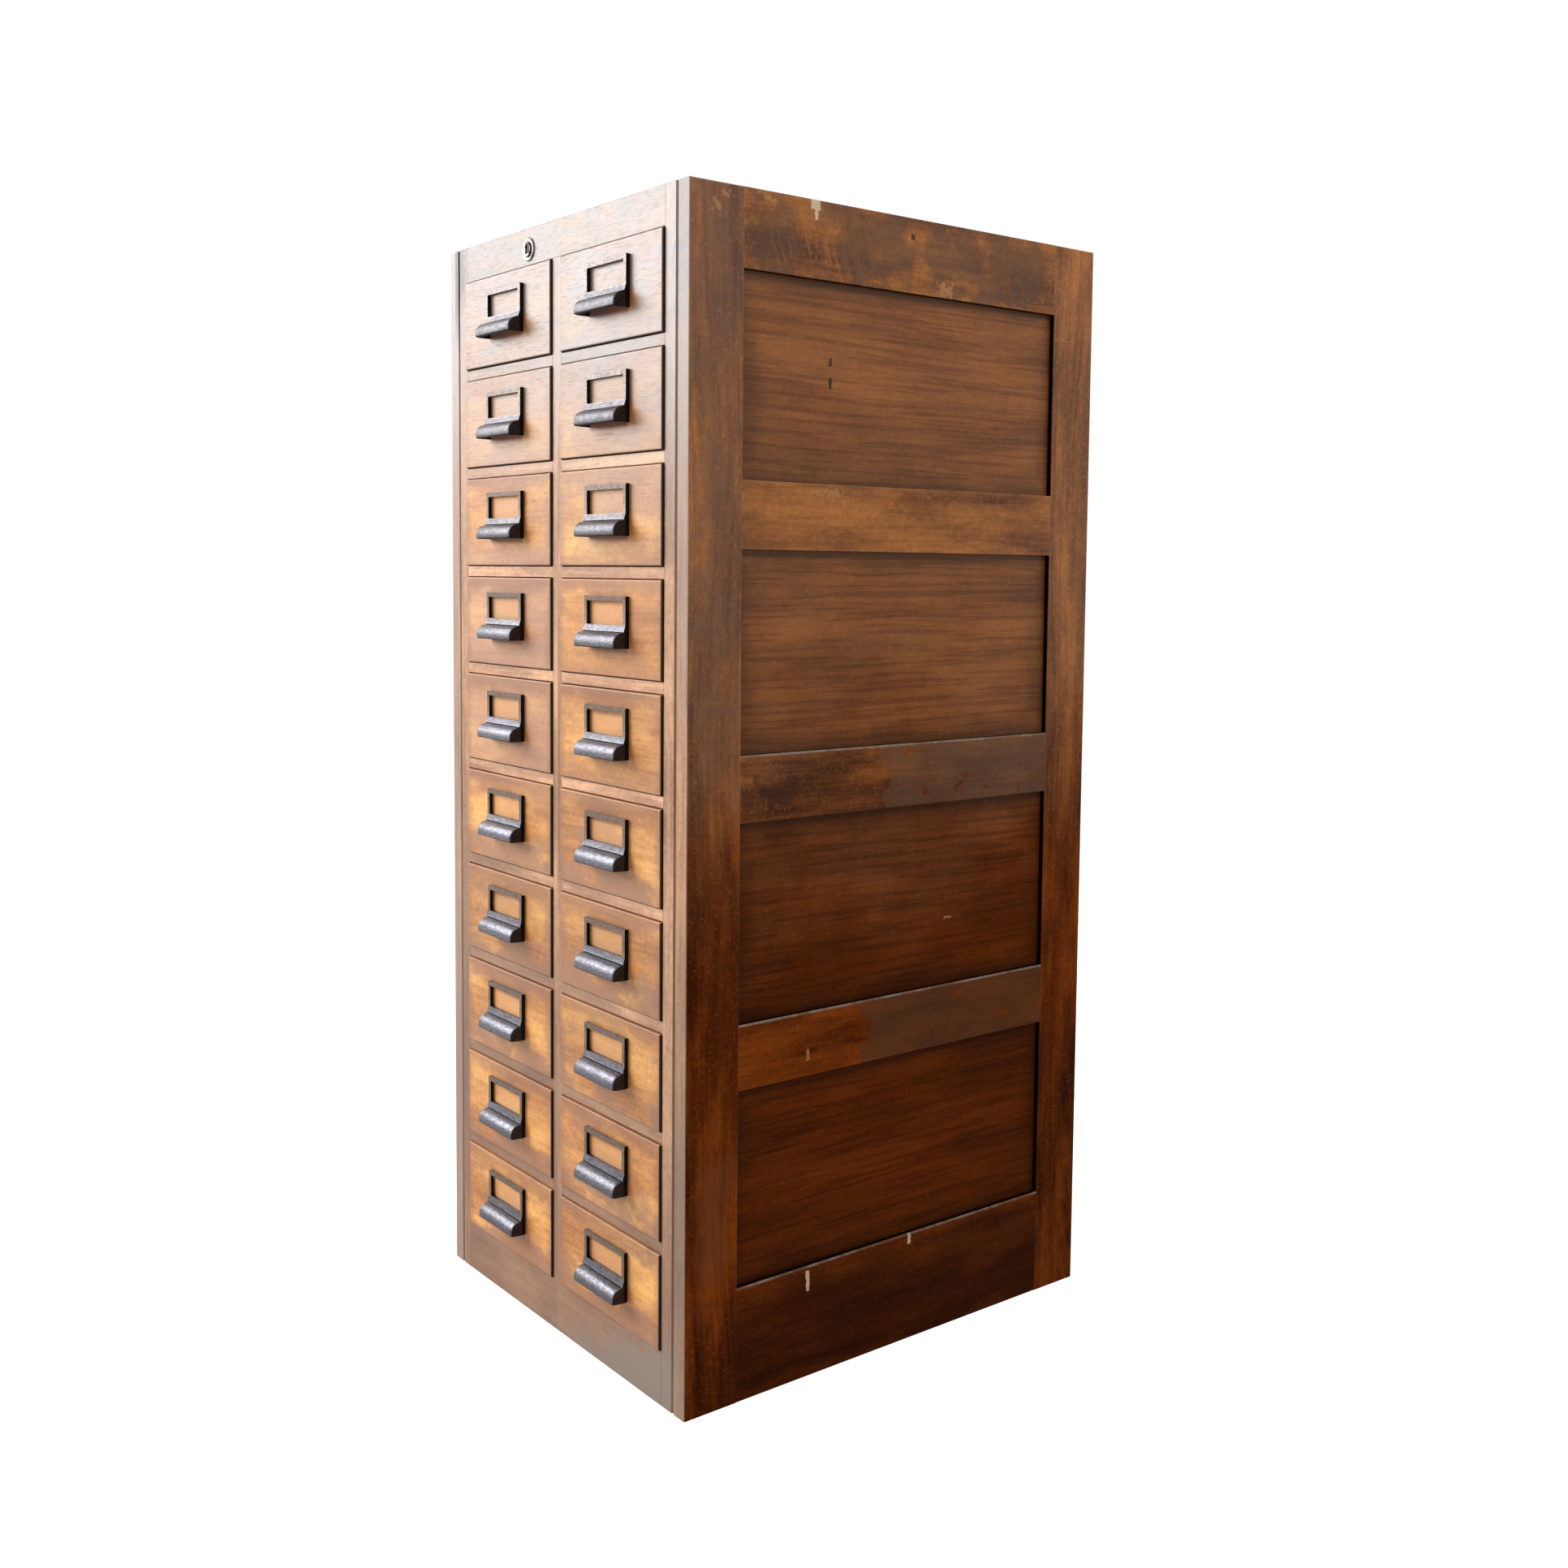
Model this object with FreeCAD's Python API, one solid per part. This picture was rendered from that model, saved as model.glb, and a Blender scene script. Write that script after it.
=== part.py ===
import FreeCAD, Part
import math
import os

# An index card chest: a tall oak case with two columns of ten shallow card drawers.
# Each drawer has a cast label holder with a hooded pull, and one lock holds them all.
# Sizes are in millimetres. X runs across the front, to the right of someone facing it,
# Y runs from the front to the back, and Z runs up. The origin is on the floor, under the
# middle of the whole piece with its pulls.

# Drawer openings
ROWS = 10
OPENING_W = 198.0
OPENING_H = 101.5

# Case
CASE_D = 567.0
EDGE_R = 1.5
ARRIS_R = 0.8
BOARD_LET_IN = 6.0

# Front frame, which fills the space between the two sides
FRONT_FRAME_D = 28.0
TOP_RAIL_H = 40.0
BOTTOM_RAIL_H = 57.0
DRAWER_RAIL_H = 12.0
FRONT_STILE_W = 20.5
MUNTIN_W = 19.0
CORNER_GROOVE = 2.2
FRAME_TENON_L = 12.0
FRAME_TENON_D = 12.0
FRAME_TENON_SHOULDER = 6.0
RAIL_TENON_L = 6.0
RAIL_TENON_D = 16.0
RAIL_TENON_H = 6.0

# Side frames, each with four flat panels
SIDE_T = 21.0
SIDE_STILE_W = 64.0
SIDE_TOP_RAIL_H = 78.0
SIDE_MID_RAIL_H = 68.0
SIDE_BOTTOM_RAIL_H = 120.0
SIDE_PANELS = 4

# Back frame, with two flat panels
BACK_T = 20.0
BACK_STILE_W = 55.0
BACK_TOP_RAIL_H = 60.0
BACK_MID_RAIL_H = 60.0
BACK_BOTTOM_RAIL_H = 90.0
BACK_PANELS = 2

# Panels in their grooves
PANEL_T = 8.0
GROOVE_D = 10.0
PANEL_PLAY = 2.0

# Top and bottom boards
TOP_BOARD_T = 14.0
BOTTOM_BOARD_T = 14.0
BOTTOM_BOARD_DROP = 16.0

# Runners and guides that carry the drawers, and the stops that they shut against
OUTER_RUNNER_LAP = 12.0
CENTRE_RUNNER_W = 13.0
GUIDE_H = 18.0
LOCK_SLOT_D = 6.0
STOP_W = 30.0
STOP_HEADROOM = 1.0
STOP_D = 9.0
STOP_GAP = 0.3

# Drawers
DRAWER_PROUD = 2.8
DRAWER_FRONT_T = 20.0
DRAWER_FRONT_R = 1.5
DRAWER_SIDE_GAP = 0.8
DRAWER_EDGE_GAP = 0.9
DRAWER_BACK_GAP = 12.0
DRAWER_HEADROOM = 9.5
DRAWER_SIDE_T = 10.0
DRAWER_BACK_T = 10.0
DRAWER_BACK_DROP = 14.0
DRAWER_BACK_INSET = 6.0
DRAWER_BOTTOM_T = 5.0
DRAWER_BOTTOM_LIFT = 6.0
DRAWER_GROOVE_D = 4.0
DRAWER_TRAVEL = 400.0
DRAWER_CATCH_W = 40.0
DRAWER_CATCH_D = 15.0
DRAWER_CATCH_DROP = 6.0

# Half-blind dovetails between each drawer's front and sides
TAILS = 3
TAIL_LAP = 5.0
TAIL_TIP_SHARE = 0.78
TAIL_SLOPE_DEG = 9.0

# Cast label holder and pull
PULL_W = 80.0
PULL_DROP = 17.0
PULL_BAR = 5.0
PULL_FRAME_D = 4.5
WINDOW_H = 24.5
LABEL_LIP = 3.0
LABEL_SLOT_D = 1.2
SILL_REACH = 6.5
SILL_FALL = 6.5
BEAD_STEP = 0.9
BEAD_H = 1.0
HOOD_REACH = 18.5
HOOD_R = 10.8
HOOD_CORNER_R = 4.0
LIP_H = 5.0
LIP_R = 2.0
PULL_WALL = 2.8
PULL_CHEEK = 3.0
PULL_SCREW_R = 1.75
PULL_SCREW_BITE = 4.0
PULL_SCREW_SPREAD = 28.0
PULL_SCREW_HEAD_R = 3.5
PULL_SCREW_HEAD_H = 2.2
SCREW_PLAY = 0.1

# Lock
LOCK_X = -61.0
LOCK_RISE = 17.0
LOCK_LIFT = 6.0
BARREL_R = 8.0
BARREL_PROUD = 3.5
BARREL_PLAY = 0.05
LOCK_TUBE_R = 10.5
LOCK_TUBE_L = 14.0
LOCK_PLATE_T = 2.0
LOCK_PLATE_W = 42.0
LOCK_PLATE_H = 20.0
LOCK_SCREW_R = 1.6
LOCK_SCREW_L = 10.0
LOCK_SCREW_SPREAD = 16.0
LOCK_POCKET_W = 46.0
LOCK_POCKET_BELOW = 13.0
LOCK_POCKET_ABOVE = 10.5
CRANK_T = 2.5
CRANK_GAP = 0.3
CRANK_R = 4.0
CRANK_PIN_R = 2.0
CRANK_PIN_PAST = 1.5
KEY_HOLE_R = 2.6
KEY_SLOT_W = 3.0
KEY_SLOT_H = 7.5
KEY_DEPTH = 11.0
ESCUTCHEON_R = 12.7
ESCUTCHEON_T = 1.8
ESCUTCHEON_EDGE = 0.9
ESCUTCHEON_PLAY = 0.4

# Flat steel bar that the lock lifts, with a lug under each drawer side
BAR_W = 12.0
BAR_T = 3.0
BAR_SET_BACK = 1.0
BAR_PLAY = 0.3
BAR_FOOT = 8.0
LUG_REACH = 19.0
LUG_H = 5.0
LUG_DROP = 1.0
LUG_PLAY = 0.5
NOTCH_PLAY = 2.0
NOTCH_HEADROOM = 0.6
ARM_H = 11.0
ARM_SLOT_H = 7.0
ARM_SLOT_PLAY = 0.3
ARM_END = 5.0

# Sizes that follow from the ones above
COLUMN_X = (MUNTIN_W + OPENING_W) / 2
INNER_X = MUNTIN_W / 2 + OPENING_W + FRONT_STILE_W
CASE_X = INNER_X + SIDE_T
ROW_PITCH = OPENING_H + DRAWER_RAIL_H
CASE_H = BOTTOM_RAIL_H + ROWS * ROW_PITCH - DRAWER_RAIL_H + TOP_RAIL_H
PULL_REACH = HOOD_REACH
FRONT_Y = -(CASE_D - DRAWER_PROUD - PULL_REACH) / 2
BACK_Y = FRONT_Y + CASE_D
FRAME_Y = FRONT_Y + FRONT_FRAME_D
INNER_BACK_Y = BACK_Y - BACK_T
OPENING_TOP = CASE_H - TOP_RAIL_H
TOP_BOARD_Z = CASE_H - TOP_BOARD_T
BOTTOM_BOARD_TOP = BOTTOM_RAIL_H - BOTTOM_BOARD_DROP
DRAWER_FACE_Y = FRONT_Y - DRAWER_PROUD
DRAWER_FRONT_BACK = DRAWER_FACE_Y + DRAWER_FRONT_T
DRAWER_END = INNER_BACK_Y - DRAWER_BACK_GAP
DRAWER_SIDE_H = OPENING_H - DRAWER_HEADROOM
DRAWER_X = OPENING_W / 2 - DRAWER_SIDE_GAP
BAR_Y = FRAME_Y + BAR_SET_BACK
LOCK_Z = OPENING_TOP + LOCK_RISE

ORIGIN = FreeCAD.Vector(0, 0, 0)
ACROSS = FreeCAD.Vector(1, 0, 0)
INWARD = FreeCAD.Vector(0, 1, 0)
SAME_PLACE = 0.001


# Tools for shaping boards


def block(x, y, z):
    """A board that fills the spans x, y and z."""
    corner = FreeCAD.Vector(x[0], y[0], z[0])
    return Part.makeBox(x[1] - x[0], y[1] - y[0], z[1] - z[0], corner)


def rod(x, z, radius, y):
    """A round bar along Y that fills the span y."""
    return Part.makeCylinder(radius, y[1] - y[0], FreeCAD.Vector(x, y[0], z), INWARD)


def prism(outline, x):
    """An outline of (y, z) points, drawn out over the span x."""
    points = [FreeCAD.Vector(x[0], y, z) for y, z in outline]
    face = Part.Face(Part.makePolygon(points + points[:1]))
    return face.extrude(ACROSS * (x[1] - x[0]))


def middle(centre, width):
    """The span of the given width about a centre."""
    return centre - width / 2, centre + width / 2


def edges_on(board, corners):
    """The edges that lie on both faces of each named pair, such as ("right", "front")."""
    box = board.BoundBox
    places = {
        "left": ("x", box.XMin),
        "right": ("x", box.XMax),
        "front": ("y", box.YMin),
        "back": ("y", box.YMax),
        "bottom": ("z", box.ZMin),
        "top": ("z", box.ZMax),
    }

    def lies_on(edge, side):
        axis, place = places[side]
        return all(abs(getattr(v.Point, axis) - place) < SAME_PLACE for v in edge.Vertexes)

    return [e for e in board.Edges if any(all(lies_on(e, s) for s in c) for c in corners)]


def eased(board, radius, *corners):
    """The board with the named edges rounded."""
    return board.makeFillet(radius, edges_on(board, corners))


def mirrored(solids):
    """The same pieces for the left of the case."""
    return [s.mirror(ORIGIN, ACROSS) for s in solids]


def floor_of(row):
    """The height of an opening's floor. Row 0 is the top one."""
    return OPENING_TOP - OPENING_H - row * ROW_PITCH


def save(name, solids):
    """Write one node of the case as a STEP file."""
    shape = solids[0] if len(solids) == 1 else Part.makeCompound(solids)
    shape.exportStep(f"parts/{name}.step")
    volume = sum(s.Volume for s in solids) / 1000
    valid = all(s.isValid() and s.Volume > 0 for s in solids)
    print(f"{name}: {len(solids)} solids, {volume:.1f} cm3, valid {valid}")


# Boards that are let into the frames around them


def top_board():
    """The top, which lies in a rebate all round and is flush with the frames."""
    x = INNER_X + BOARD_LET_IN
    y = (FRAME_Y - BOARD_LET_IN, INNER_BACK_Y + BOARD_LET_IN)
    return block((-x, x), y, (TOP_BOARD_Z, CASE_H))


def bottom_board():
    """The board under the lowest drawers, housed in the frames all round."""
    x = INNER_X + BOARD_LET_IN
    y = (FRAME_Y - BOARD_LET_IN, INNER_BACK_Y + BOARD_LET_IN)
    return block((-x, x), y, (BOTTOM_BOARD_TOP - BOTTOM_BOARD_T, BOTTOM_BOARD_TOP))


def housed(board):
    """A frame's piece, cut to take the top and bottom boards."""
    return board.cut(top_board()).cut(bottom_board())


# Sides


def side_groove():
    """Where the panels and tongues lie in the thickness of the right side."""
    return middle(INNER_X + SIDE_T / 2, PANEL_T)


def side_openings():
    """The height of each panel's opening in a side, from the bottom up."""
    rails = SIDE_TOP_RAIL_H + SIDE_BOTTOM_RAIL_H + (SIDE_PANELS - 1) * SIDE_MID_RAIL_H
    height = (CASE_H - rails) / SIDE_PANELS
    pitch = height + SIDE_MID_RAIL_H
    starts = [SIDE_BOTTOM_RAIL_H + i * pitch for i in range(SIDE_PANELS)]
    return [(z, z + height) for z in starts]


def side_stiles():
    """The two uprights of the right side, grooved down their inner edges."""
    x = (INNER_X, CASE_X)
    front_end = FRONT_Y + SIDE_STILE_W
    back_start = BACK_Y - SIDE_STILE_W
    front = block(x, (FRONT_Y, front_end), (0, CASE_H))
    front = eased(front, EDGE_R, ("right", "front"), ("right", "top"))
    front = front.makeChamfer(CORNER_GROOVE, edges_on(front, [("left", "front")]))
    front = front.cut(block(side_groove(), (front_end - GROOVE_D, front_end), (0, CASE_H)))
    back = block(x, (back_start, BACK_Y), (0, CASE_H))
    back = eased(back, EDGE_R, ("right", "back"), ("right", "top"))
    back = back.cut(block(side_groove(), (back_start, back_start + GROOVE_D), (0, CASE_H)))
    return [housed(front), housed(back)]


def side_rails():
    """The rails of the right side, from the bottom up, with tongues into the stiles."""
    openings = side_openings()
    bottoms = [0] + [top for _, top in openings]
    tops = [bottom for bottom, _ in openings] + [CASE_H]
    y = (FRONT_Y + SIDE_STILE_W, BACK_Y - SIDE_STILE_W)
    tongue_y = (y[0] - GROOVE_D, y[1] + GROOVE_D)
    rails = []
    for bottom, top in zip(bottoms, tops):
        rail = block((INNER_X, CASE_X), y, (bottom, top))
        rail = eased(rail, ARRIS_R, ("right", "top"), ("right", "bottom"))
        rail = rail.fuse(block(side_groove(), tongue_y, (bottom, top)))
        if bottom > 0:
            rail = rail.cut(block(side_groove(), tongue_y, (bottom, bottom + GROOVE_D)))
        if top < CASE_H:
            rail = rail.cut(block(side_groove(), tongue_y, (top - GROOVE_D, top)))
        rails.append(housed(rail))
    return rails


def side_panels():
    """The flat panels of the right side, loose in their grooves."""
    reach = GROOVE_D - PANEL_PLAY
    y = (FRONT_Y + SIDE_STILE_W - reach, BACK_Y - SIDE_STILE_W + reach)
    return [block(side_groove(), y, (z0 - reach, z1 + reach)) for z0, z1 in side_openings()]


# Back


def back_openings():
    """The height of each panel's opening in the back, from the bottom up."""
    rails = BACK_TOP_RAIL_H + BACK_BOTTOM_RAIL_H + (BACK_PANELS - 1) * BACK_MID_RAIL_H
    height = (CASE_H - rails) / BACK_PANELS
    pitch = height + BACK_MID_RAIL_H
    starts = [BACK_BOTTOM_RAIL_H + i * pitch for i in range(BACK_PANELS)]
    return [(z, z + height) for z in starts]


def back_frame():
    """The stiles and rails of the back, which stand between the two sides."""
    y = (INNER_BACK_Y, BACK_Y)
    groove = middle(BACK_Y - BACK_T / 2, PANEL_T)
    inner = INNER_X - BACK_STILE_W
    stile = block((inner, INNER_X), y, (0, CASE_H))
    stile = eased(stile, ARRIS_R, ("left", "back"))
    stile = stile.cut(block((inner, inner + GROOVE_D), groove, (0, CASE_H)))
    pieces = [stile] + mirrored([stile])
    openings = back_openings()
    bottoms = [0] + [top for _, top in openings]
    tops = [bottom for bottom, _ in openings] + [CASE_H]
    tongue_x = (-inner - GROOVE_D, inner + GROOVE_D)
    for bottom, top in zip(bottoms, tops):
        rail = block((-inner, inner), y, (bottom, top))
        rail = eased(rail, ARRIS_R, ("back", "top"), ("back", "bottom"))
        rail = rail.fuse(block(tongue_x, groove, (bottom, top)))
        if bottom > 0:
            rail = rail.cut(block(tongue_x, groove, (bottom, bottom + GROOVE_D)))
        if top < CASE_H:
            rail = rail.cut(block(tongue_x, groove, (top - GROOVE_D, top)))
        pieces.append(rail)
    return [housed(p) for p in pieces]


def back_panels():
    """The flat panels of the back, loose in their grooves."""
    reach = GROOVE_D - PANEL_PLAY
    x = INNER_X - BACK_STILE_W + reach
    groove = middle(BACK_Y - BACK_T / 2, PANEL_T)
    return [block((-x, x), groove, (z0 - reach, z1 + reach)) for z0, z1 in back_openings()]


# Front frame


def frame_tenon_y():
    """Where the tenons of the top rail, bottom rail and centre upright lie."""
    return middle(FRONT_Y + FRONT_FRAME_D / 2, FRAME_TENON_D)


def frame_rail_tenons(z):
    """The two tenons on the ends of a rail that spans the whole front."""
    start = INNER_X - FRONT_STILE_W
    height = (z[0] + FRAME_TENON_SHOULDER, z[1] - FRAME_TENON_SHOULDER)
    tenon = block((start, start + FRAME_TENON_L), frame_tenon_y(), height)
    return [tenon] + mirrored([tenon])


def muntin_tenons():
    """The tenons at the foot and head of the centre upright."""
    x = middle(0, MUNTIN_W - 2 * FRAME_TENON_SHOULDER)
    foot = block(x, frame_tenon_y(), (BOTTOM_RAIL_H - FRAME_TENON_L, BOTTOM_RAIL_H))
    head = block(x, frame_tenon_y(), (OPENING_TOP, OPENING_TOP + FRAME_TENON_L))
    return [foot, head]


def drawer_rail_span(row):
    """The height of the thin rail under one row of drawers."""
    return floor_of(row) - DRAWER_RAIL_H, floor_of(row)


def drawer_rail_tenons(row):
    """The two tenons of the right-hand rail under a row."""
    z = middle(floor_of(row) - DRAWER_RAIL_H / 2, RAIL_TENON_H)
    y = middle(FRONT_Y + FRONT_FRAME_D / 2, RAIL_TENON_D)
    left = MUNTIN_W / 2
    right = left + OPENING_W
    return [
        block((left - RAIL_TENON_L, left), y, z),
        block((right, right + RAIL_TENON_L), y, z),
    ]


def without(board, pieces):
    """A board with a seat cut for each of the pieces."""
    for piece in pieces:
        board = board.cut(piece)
    return board


def front_stiles():
    """The right and left uprights of the front and the one between the columns."""
    y = (FRONT_Y, FRAME_Y)
    start = INNER_X - FRONT_STILE_W
    rail_tenons = [t for row in range(ROWS - 1) for t in drawer_rail_tenons(row)]
    right = block((start, INNER_X), y, (0, CASE_H))
    right = eased(right, ARRIS_R, ("left", "front"))
    right = right.makeChamfer(CORNER_GROOVE, edges_on(right, [("right", "front")]))
    right = without(right, rail_tenons)
    right = without(right, frame_rail_tenons((0, BOTTOM_RAIL_H)))
    right = housed(without(right, frame_rail_tenons((OPENING_TOP, CASE_H))))
    centre = block(middle(0, MUNTIN_W), y, (BOTTOM_RAIL_H, OPENING_TOP))
    centre = eased(centre, ARRIS_R, ("left", "front"), ("right", "front"))
    centre = without(centre, rail_tenons + mirrored(rail_tenons))
    for tenon in muntin_tenons():
        centre = centre.fuse(tenon)
    return [right, centre] + mirrored([right])


def front_rails():
    """The top rail, which holds the lock, and the bottom rail."""
    x = (FRONT_STILE_W - INNER_X, INNER_X - FRONT_STILE_W)
    y = (FRONT_Y, FRAME_Y)
    top = block(x, y, (OPENING_TOP, CASE_H))
    top = eased(top, ARRIS_R, ("front", "top"), ("front", "bottom"))
    bottom = block(x, y, (0, BOTTOM_RAIL_H))
    bottom = eased(bottom, ARRIS_R, ("front", "top"))
    for tenon in frame_rail_tenons((OPENING_TOP, CASE_H)):
        top = top.fuse(tenon)
    for tenon in frame_rail_tenons((0, BOTTOM_RAIL_H)):
        bottom = bottom.fuse(tenon)
    top = without(top, muntin_tenons() + [lock_bore(), lock_pocket()] + lock_screws())
    bottom = without(bottom, muntin_tenons())
    return [housed(top), housed(bottom)]


def drawer_rails():
    """The thin rails between the drawers of both columns."""
    x = (MUNTIN_W / 2, MUNTIN_W / 2 + OPENING_W)
    rails = []
    for row in range(ROWS - 1):
        rail = block(x, (FRONT_Y, FRAME_Y), drawer_rail_span(row))
        rail = eased(rail, ARRIS_R, ("front", "top"), ("front", "bottom"))
        for tenon in drawer_rail_tenons(row):
            rail = rail.fuse(tenon)
        rails.append(rail)
    return rails + mirrored(rails)


# Inside of the case


def centre_partition():
    """The upright board between the columns, grooved down its front edge for the lock's bar."""
    x = middle(0, MUNTIN_W)
    board = block(x, (FRAME_Y, INNER_BACK_Y), (BOTTOM_BOARD_TOP, TOP_BOARD_Z))
    slot_y = (FRAME_Y, BAR_Y + BAR_T + BAR_PLAY)
    foot = floor_of(ROWS - 1) - BAR_FOOT
    board = board.cut(block(middle(0, BAR_W + 2 * BAR_PLAY), slot_y, (foot, TOP_BOARD_Z)))
    board = board.cut(block(x, slot_y, (OPENING_TOP, TOP_BOARD_Z)))
    for row in range(ROWS):
        lug = floor_of(row) - LUG_DROP
        window = (lug - LUG_H - LUG_PLAY, lug + LOCK_LIFT + LUG_PLAY)
        board = board.cut(block(x, slot_y, window))
    return board


def drawer_runners():
    """Under each drawer side a runner, and beside each outer one a guide."""
    edge = MUNTIN_W / 2 + OPENING_W
    centre_start = FRAME_Y + LOCK_SLOT_D
    pieces = []
    for row in range(ROWS):
        z = drawer_rail_span(row)
        outer_x = (edge - OUTER_RUNNER_LAP, INNER_X)
        pieces.append(block(outer_x, (FRAME_Y, INNER_BACK_Y), z))
        guide_z = (z[1], z[1] + GUIDE_H)
        pieces.append(block((edge, INNER_X), (FRAME_Y, INNER_BACK_Y), guide_z))
        centre_x = (MUNTIN_W / 2, MUNTIN_W / 2 + CENTRE_RUNNER_W)
        pieces.append(block(centre_x, (centre_start, INNER_BACK_Y), z))
    return pieces + mirrored(pieces)


def drawer_stops():
    """A small block on the rail under each drawer, which its front shuts against."""
    start = DRAWER_FRONT_BACK + STOP_GAP
    stops = []
    for row in range(ROWS):
        z = (floor_of(row), floor_of(row) + DRAWER_BOTTOM_LIFT - STOP_HEADROOM)
        stops.append(block(middle(COLUMN_X, STOP_W), (start, start + STOP_D), z))
    return stops + mirrored(stops)


# Drawers


def tail_outline(index):
    """One dovetail of a drawer side in (y, z), for a drawer whose floor is at height 0."""
    pitch = DRAWER_SIDE_H / TAILS
    centre = (index + 0.5) * pitch
    tip_y = DRAWER_FACE_Y + TAIL_LAP
    tip = TAIL_TIP_SHARE * pitch / 2
    root = tip - (DRAWER_FRONT_BACK - tip_y) * math.tan(math.radians(TAIL_SLOPE_DEG))
    return [
        (DRAWER_FRONT_BACK, centre - root),
        (tip_y, centre - tip),
        (tip_y, centre + tip),
        (DRAWER_FRONT_BACK, centre + root),
    ]


def drawer_tails(x):
    """The dovetails of one drawer side, through its thickness x."""
    return [prism(tail_outline(i), x) for i in range(TAILS)]


def drawer_box():
    """The pieces of a right-hand drawer whose floor is at height 0."""
    inner = DRAWER_X - DRAWER_SIDE_T
    housed_x = middle(COLUMN_X, 2 * (inner + DRAWER_GROOVE_D))
    left_x = (COLUMN_X - DRAWER_X, COLUMN_X - inner)
    right_x = (COLUMN_X + inner, COLUMN_X + DRAWER_X)
    bottom_top = DRAWER_BOTTOM_LIFT + DRAWER_BOTTOM_T
    back_end = DRAWER_END - DRAWER_BACK_INSET
    front_groove = DRAWER_FRONT_BACK - DRAWER_GROOVE_D
    bottom_z = (DRAWER_BOTTOM_LIFT, bottom_top)
    bottom = block(housed_x, (front_groove, back_end), bottom_z)
    groove = block(housed_x, (front_groove, DRAWER_END), bottom_z)
    back_z = (bottom_top, DRAWER_SIDE_H - DRAWER_BACK_DROP)
    back = block(housed_x, (back_end - DRAWER_BACK_T, back_end), back_z)

    front_z = (DRAWER_EDGE_GAP, OPENING_H - DRAWER_EDGE_GAP)
    front_y = (DRAWER_FACE_Y, DRAWER_FRONT_BACK)
    front = block(middle(COLUMN_X, 2 * DRAWER_X), front_y, front_z)
    rounded = [("front", s) for s in ("left", "right", "top", "bottom")]
    front = eased(front, DRAWER_FRONT_R, *rounded)
    front = without(front, drawer_tails(left_x) + drawer_tails(right_x) + [groove])
    front = without(front, pull_screw_holes())

    sides = []
    for x in (left_x, right_x):
        side = block(x, (DRAWER_FRONT_BACK, DRAWER_END), (0, DRAWER_SIDE_H))
        for tail in drawer_tails(x):
            side = side.fuse(tail)
        sides.append(side.cut(groove).cut(back))
    notch_y = (BAR_Y - NOTCH_PLAY, BAR_Y + BAR_T + NOTCH_PLAY)
    notch_z = (0, LOCK_LIFT - LUG_DROP + NOTCH_HEADROOM)
    sides[0] = sides[0].cut(block(left_x, notch_y, notch_z))

    catch_start = FRAME_Y + DRAWER_TRAVEL + STOP_GAP
    catch_y = (catch_start, catch_start + DRAWER_CATCH_D)
    catch_z = (-DRAWER_CATCH_DROP, DRAWER_BOTTOM_LIFT)
    catch = block(middle(COLUMN_X, DRAWER_CATCH_W), catch_y, catch_z)
    return [front] + sides + [back, bottom, catch]


# Pulls


def pull_top():
    """The height of the pull's top edge over its drawer's floor."""
    return OPENING_H - DRAWER_EDGE_GAP - PULL_DROP


def pull_levels():
    """The heights of the window's foot, the sill's foot, the hood's centre and the lip's foot."""
    window = pull_top() - PULL_BAR - WINDOW_H
    sill = window - SILL_FALL
    hood = sill - BEAD_H - HOOD_R
    return window, sill, hood, hood - LIP_H


def pull_body():
    """The solid form of the casting from the side: frame, sill, bead, round hood and rolled lip."""
    window, sill, hood, foot = pull_levels()

    def at(reach, z):
        return FreeCAD.Vector(COLUMN_X - PULL_W / 2, DRAWER_FACE_Y - reach, z)

    slant = math.sqrt(0.5)
    centre = HOOD_REACH - HOOD_R
    line = Part.LineSegment
    lip_low = at(HOOD_REACH - LIP_R * (1 - slant), foot + LIP_R * (1 - slant))
    hood_middle = at(centre + HOOD_R * slant, hood + HOOD_R * slant)
    edges = [
        line(at(0, pull_top()), at(PULL_FRAME_D, pull_top())),
        line(at(PULL_FRAME_D, pull_top()), at(PULL_FRAME_D, window)),
        line(at(PULL_FRAME_D, window), at(SILL_REACH, sill)),
        line(at(SILL_REACH, sill), at(SILL_REACH - BEAD_STEP, sill - BEAD_H)),
        line(at(SILL_REACH - BEAD_STEP, sill - BEAD_H), at(centre, hood + HOOD_R)),
        Part.Arc(at(centre, hood + HOOD_R), hood_middle, at(HOOD_REACH, hood)),
        line(at(HOOD_REACH, hood), at(HOOD_REACH, foot + LIP_R)),
        Part.Arc(at(HOOD_REACH, foot + LIP_R), lip_low, at(HOOD_REACH - LIP_R, foot)),
        line(at(HOOD_REACH - LIP_R, foot), at(0, foot)),
        line(at(0, foot), at(0, pull_top())),
    ]
    face = Part.Face(Part.Wire([e.toShape() for e in edges]))
    return face.extrude(ACROSS * PULL_W)


def pull_plan():
    """A block with the casting's outline from above, where the hood's two corners are round."""
    _, _, _, foot = pull_levels()
    x = middle(COLUMN_X, PULL_W)
    plan = block(x, (DRAWER_FACE_Y - HOOD_REACH, DRAWER_FACE_Y), (foot, pull_top()))
    return eased(plan, HOOD_CORNER_R, ("left", "front"), ("right", "front"))


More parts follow.
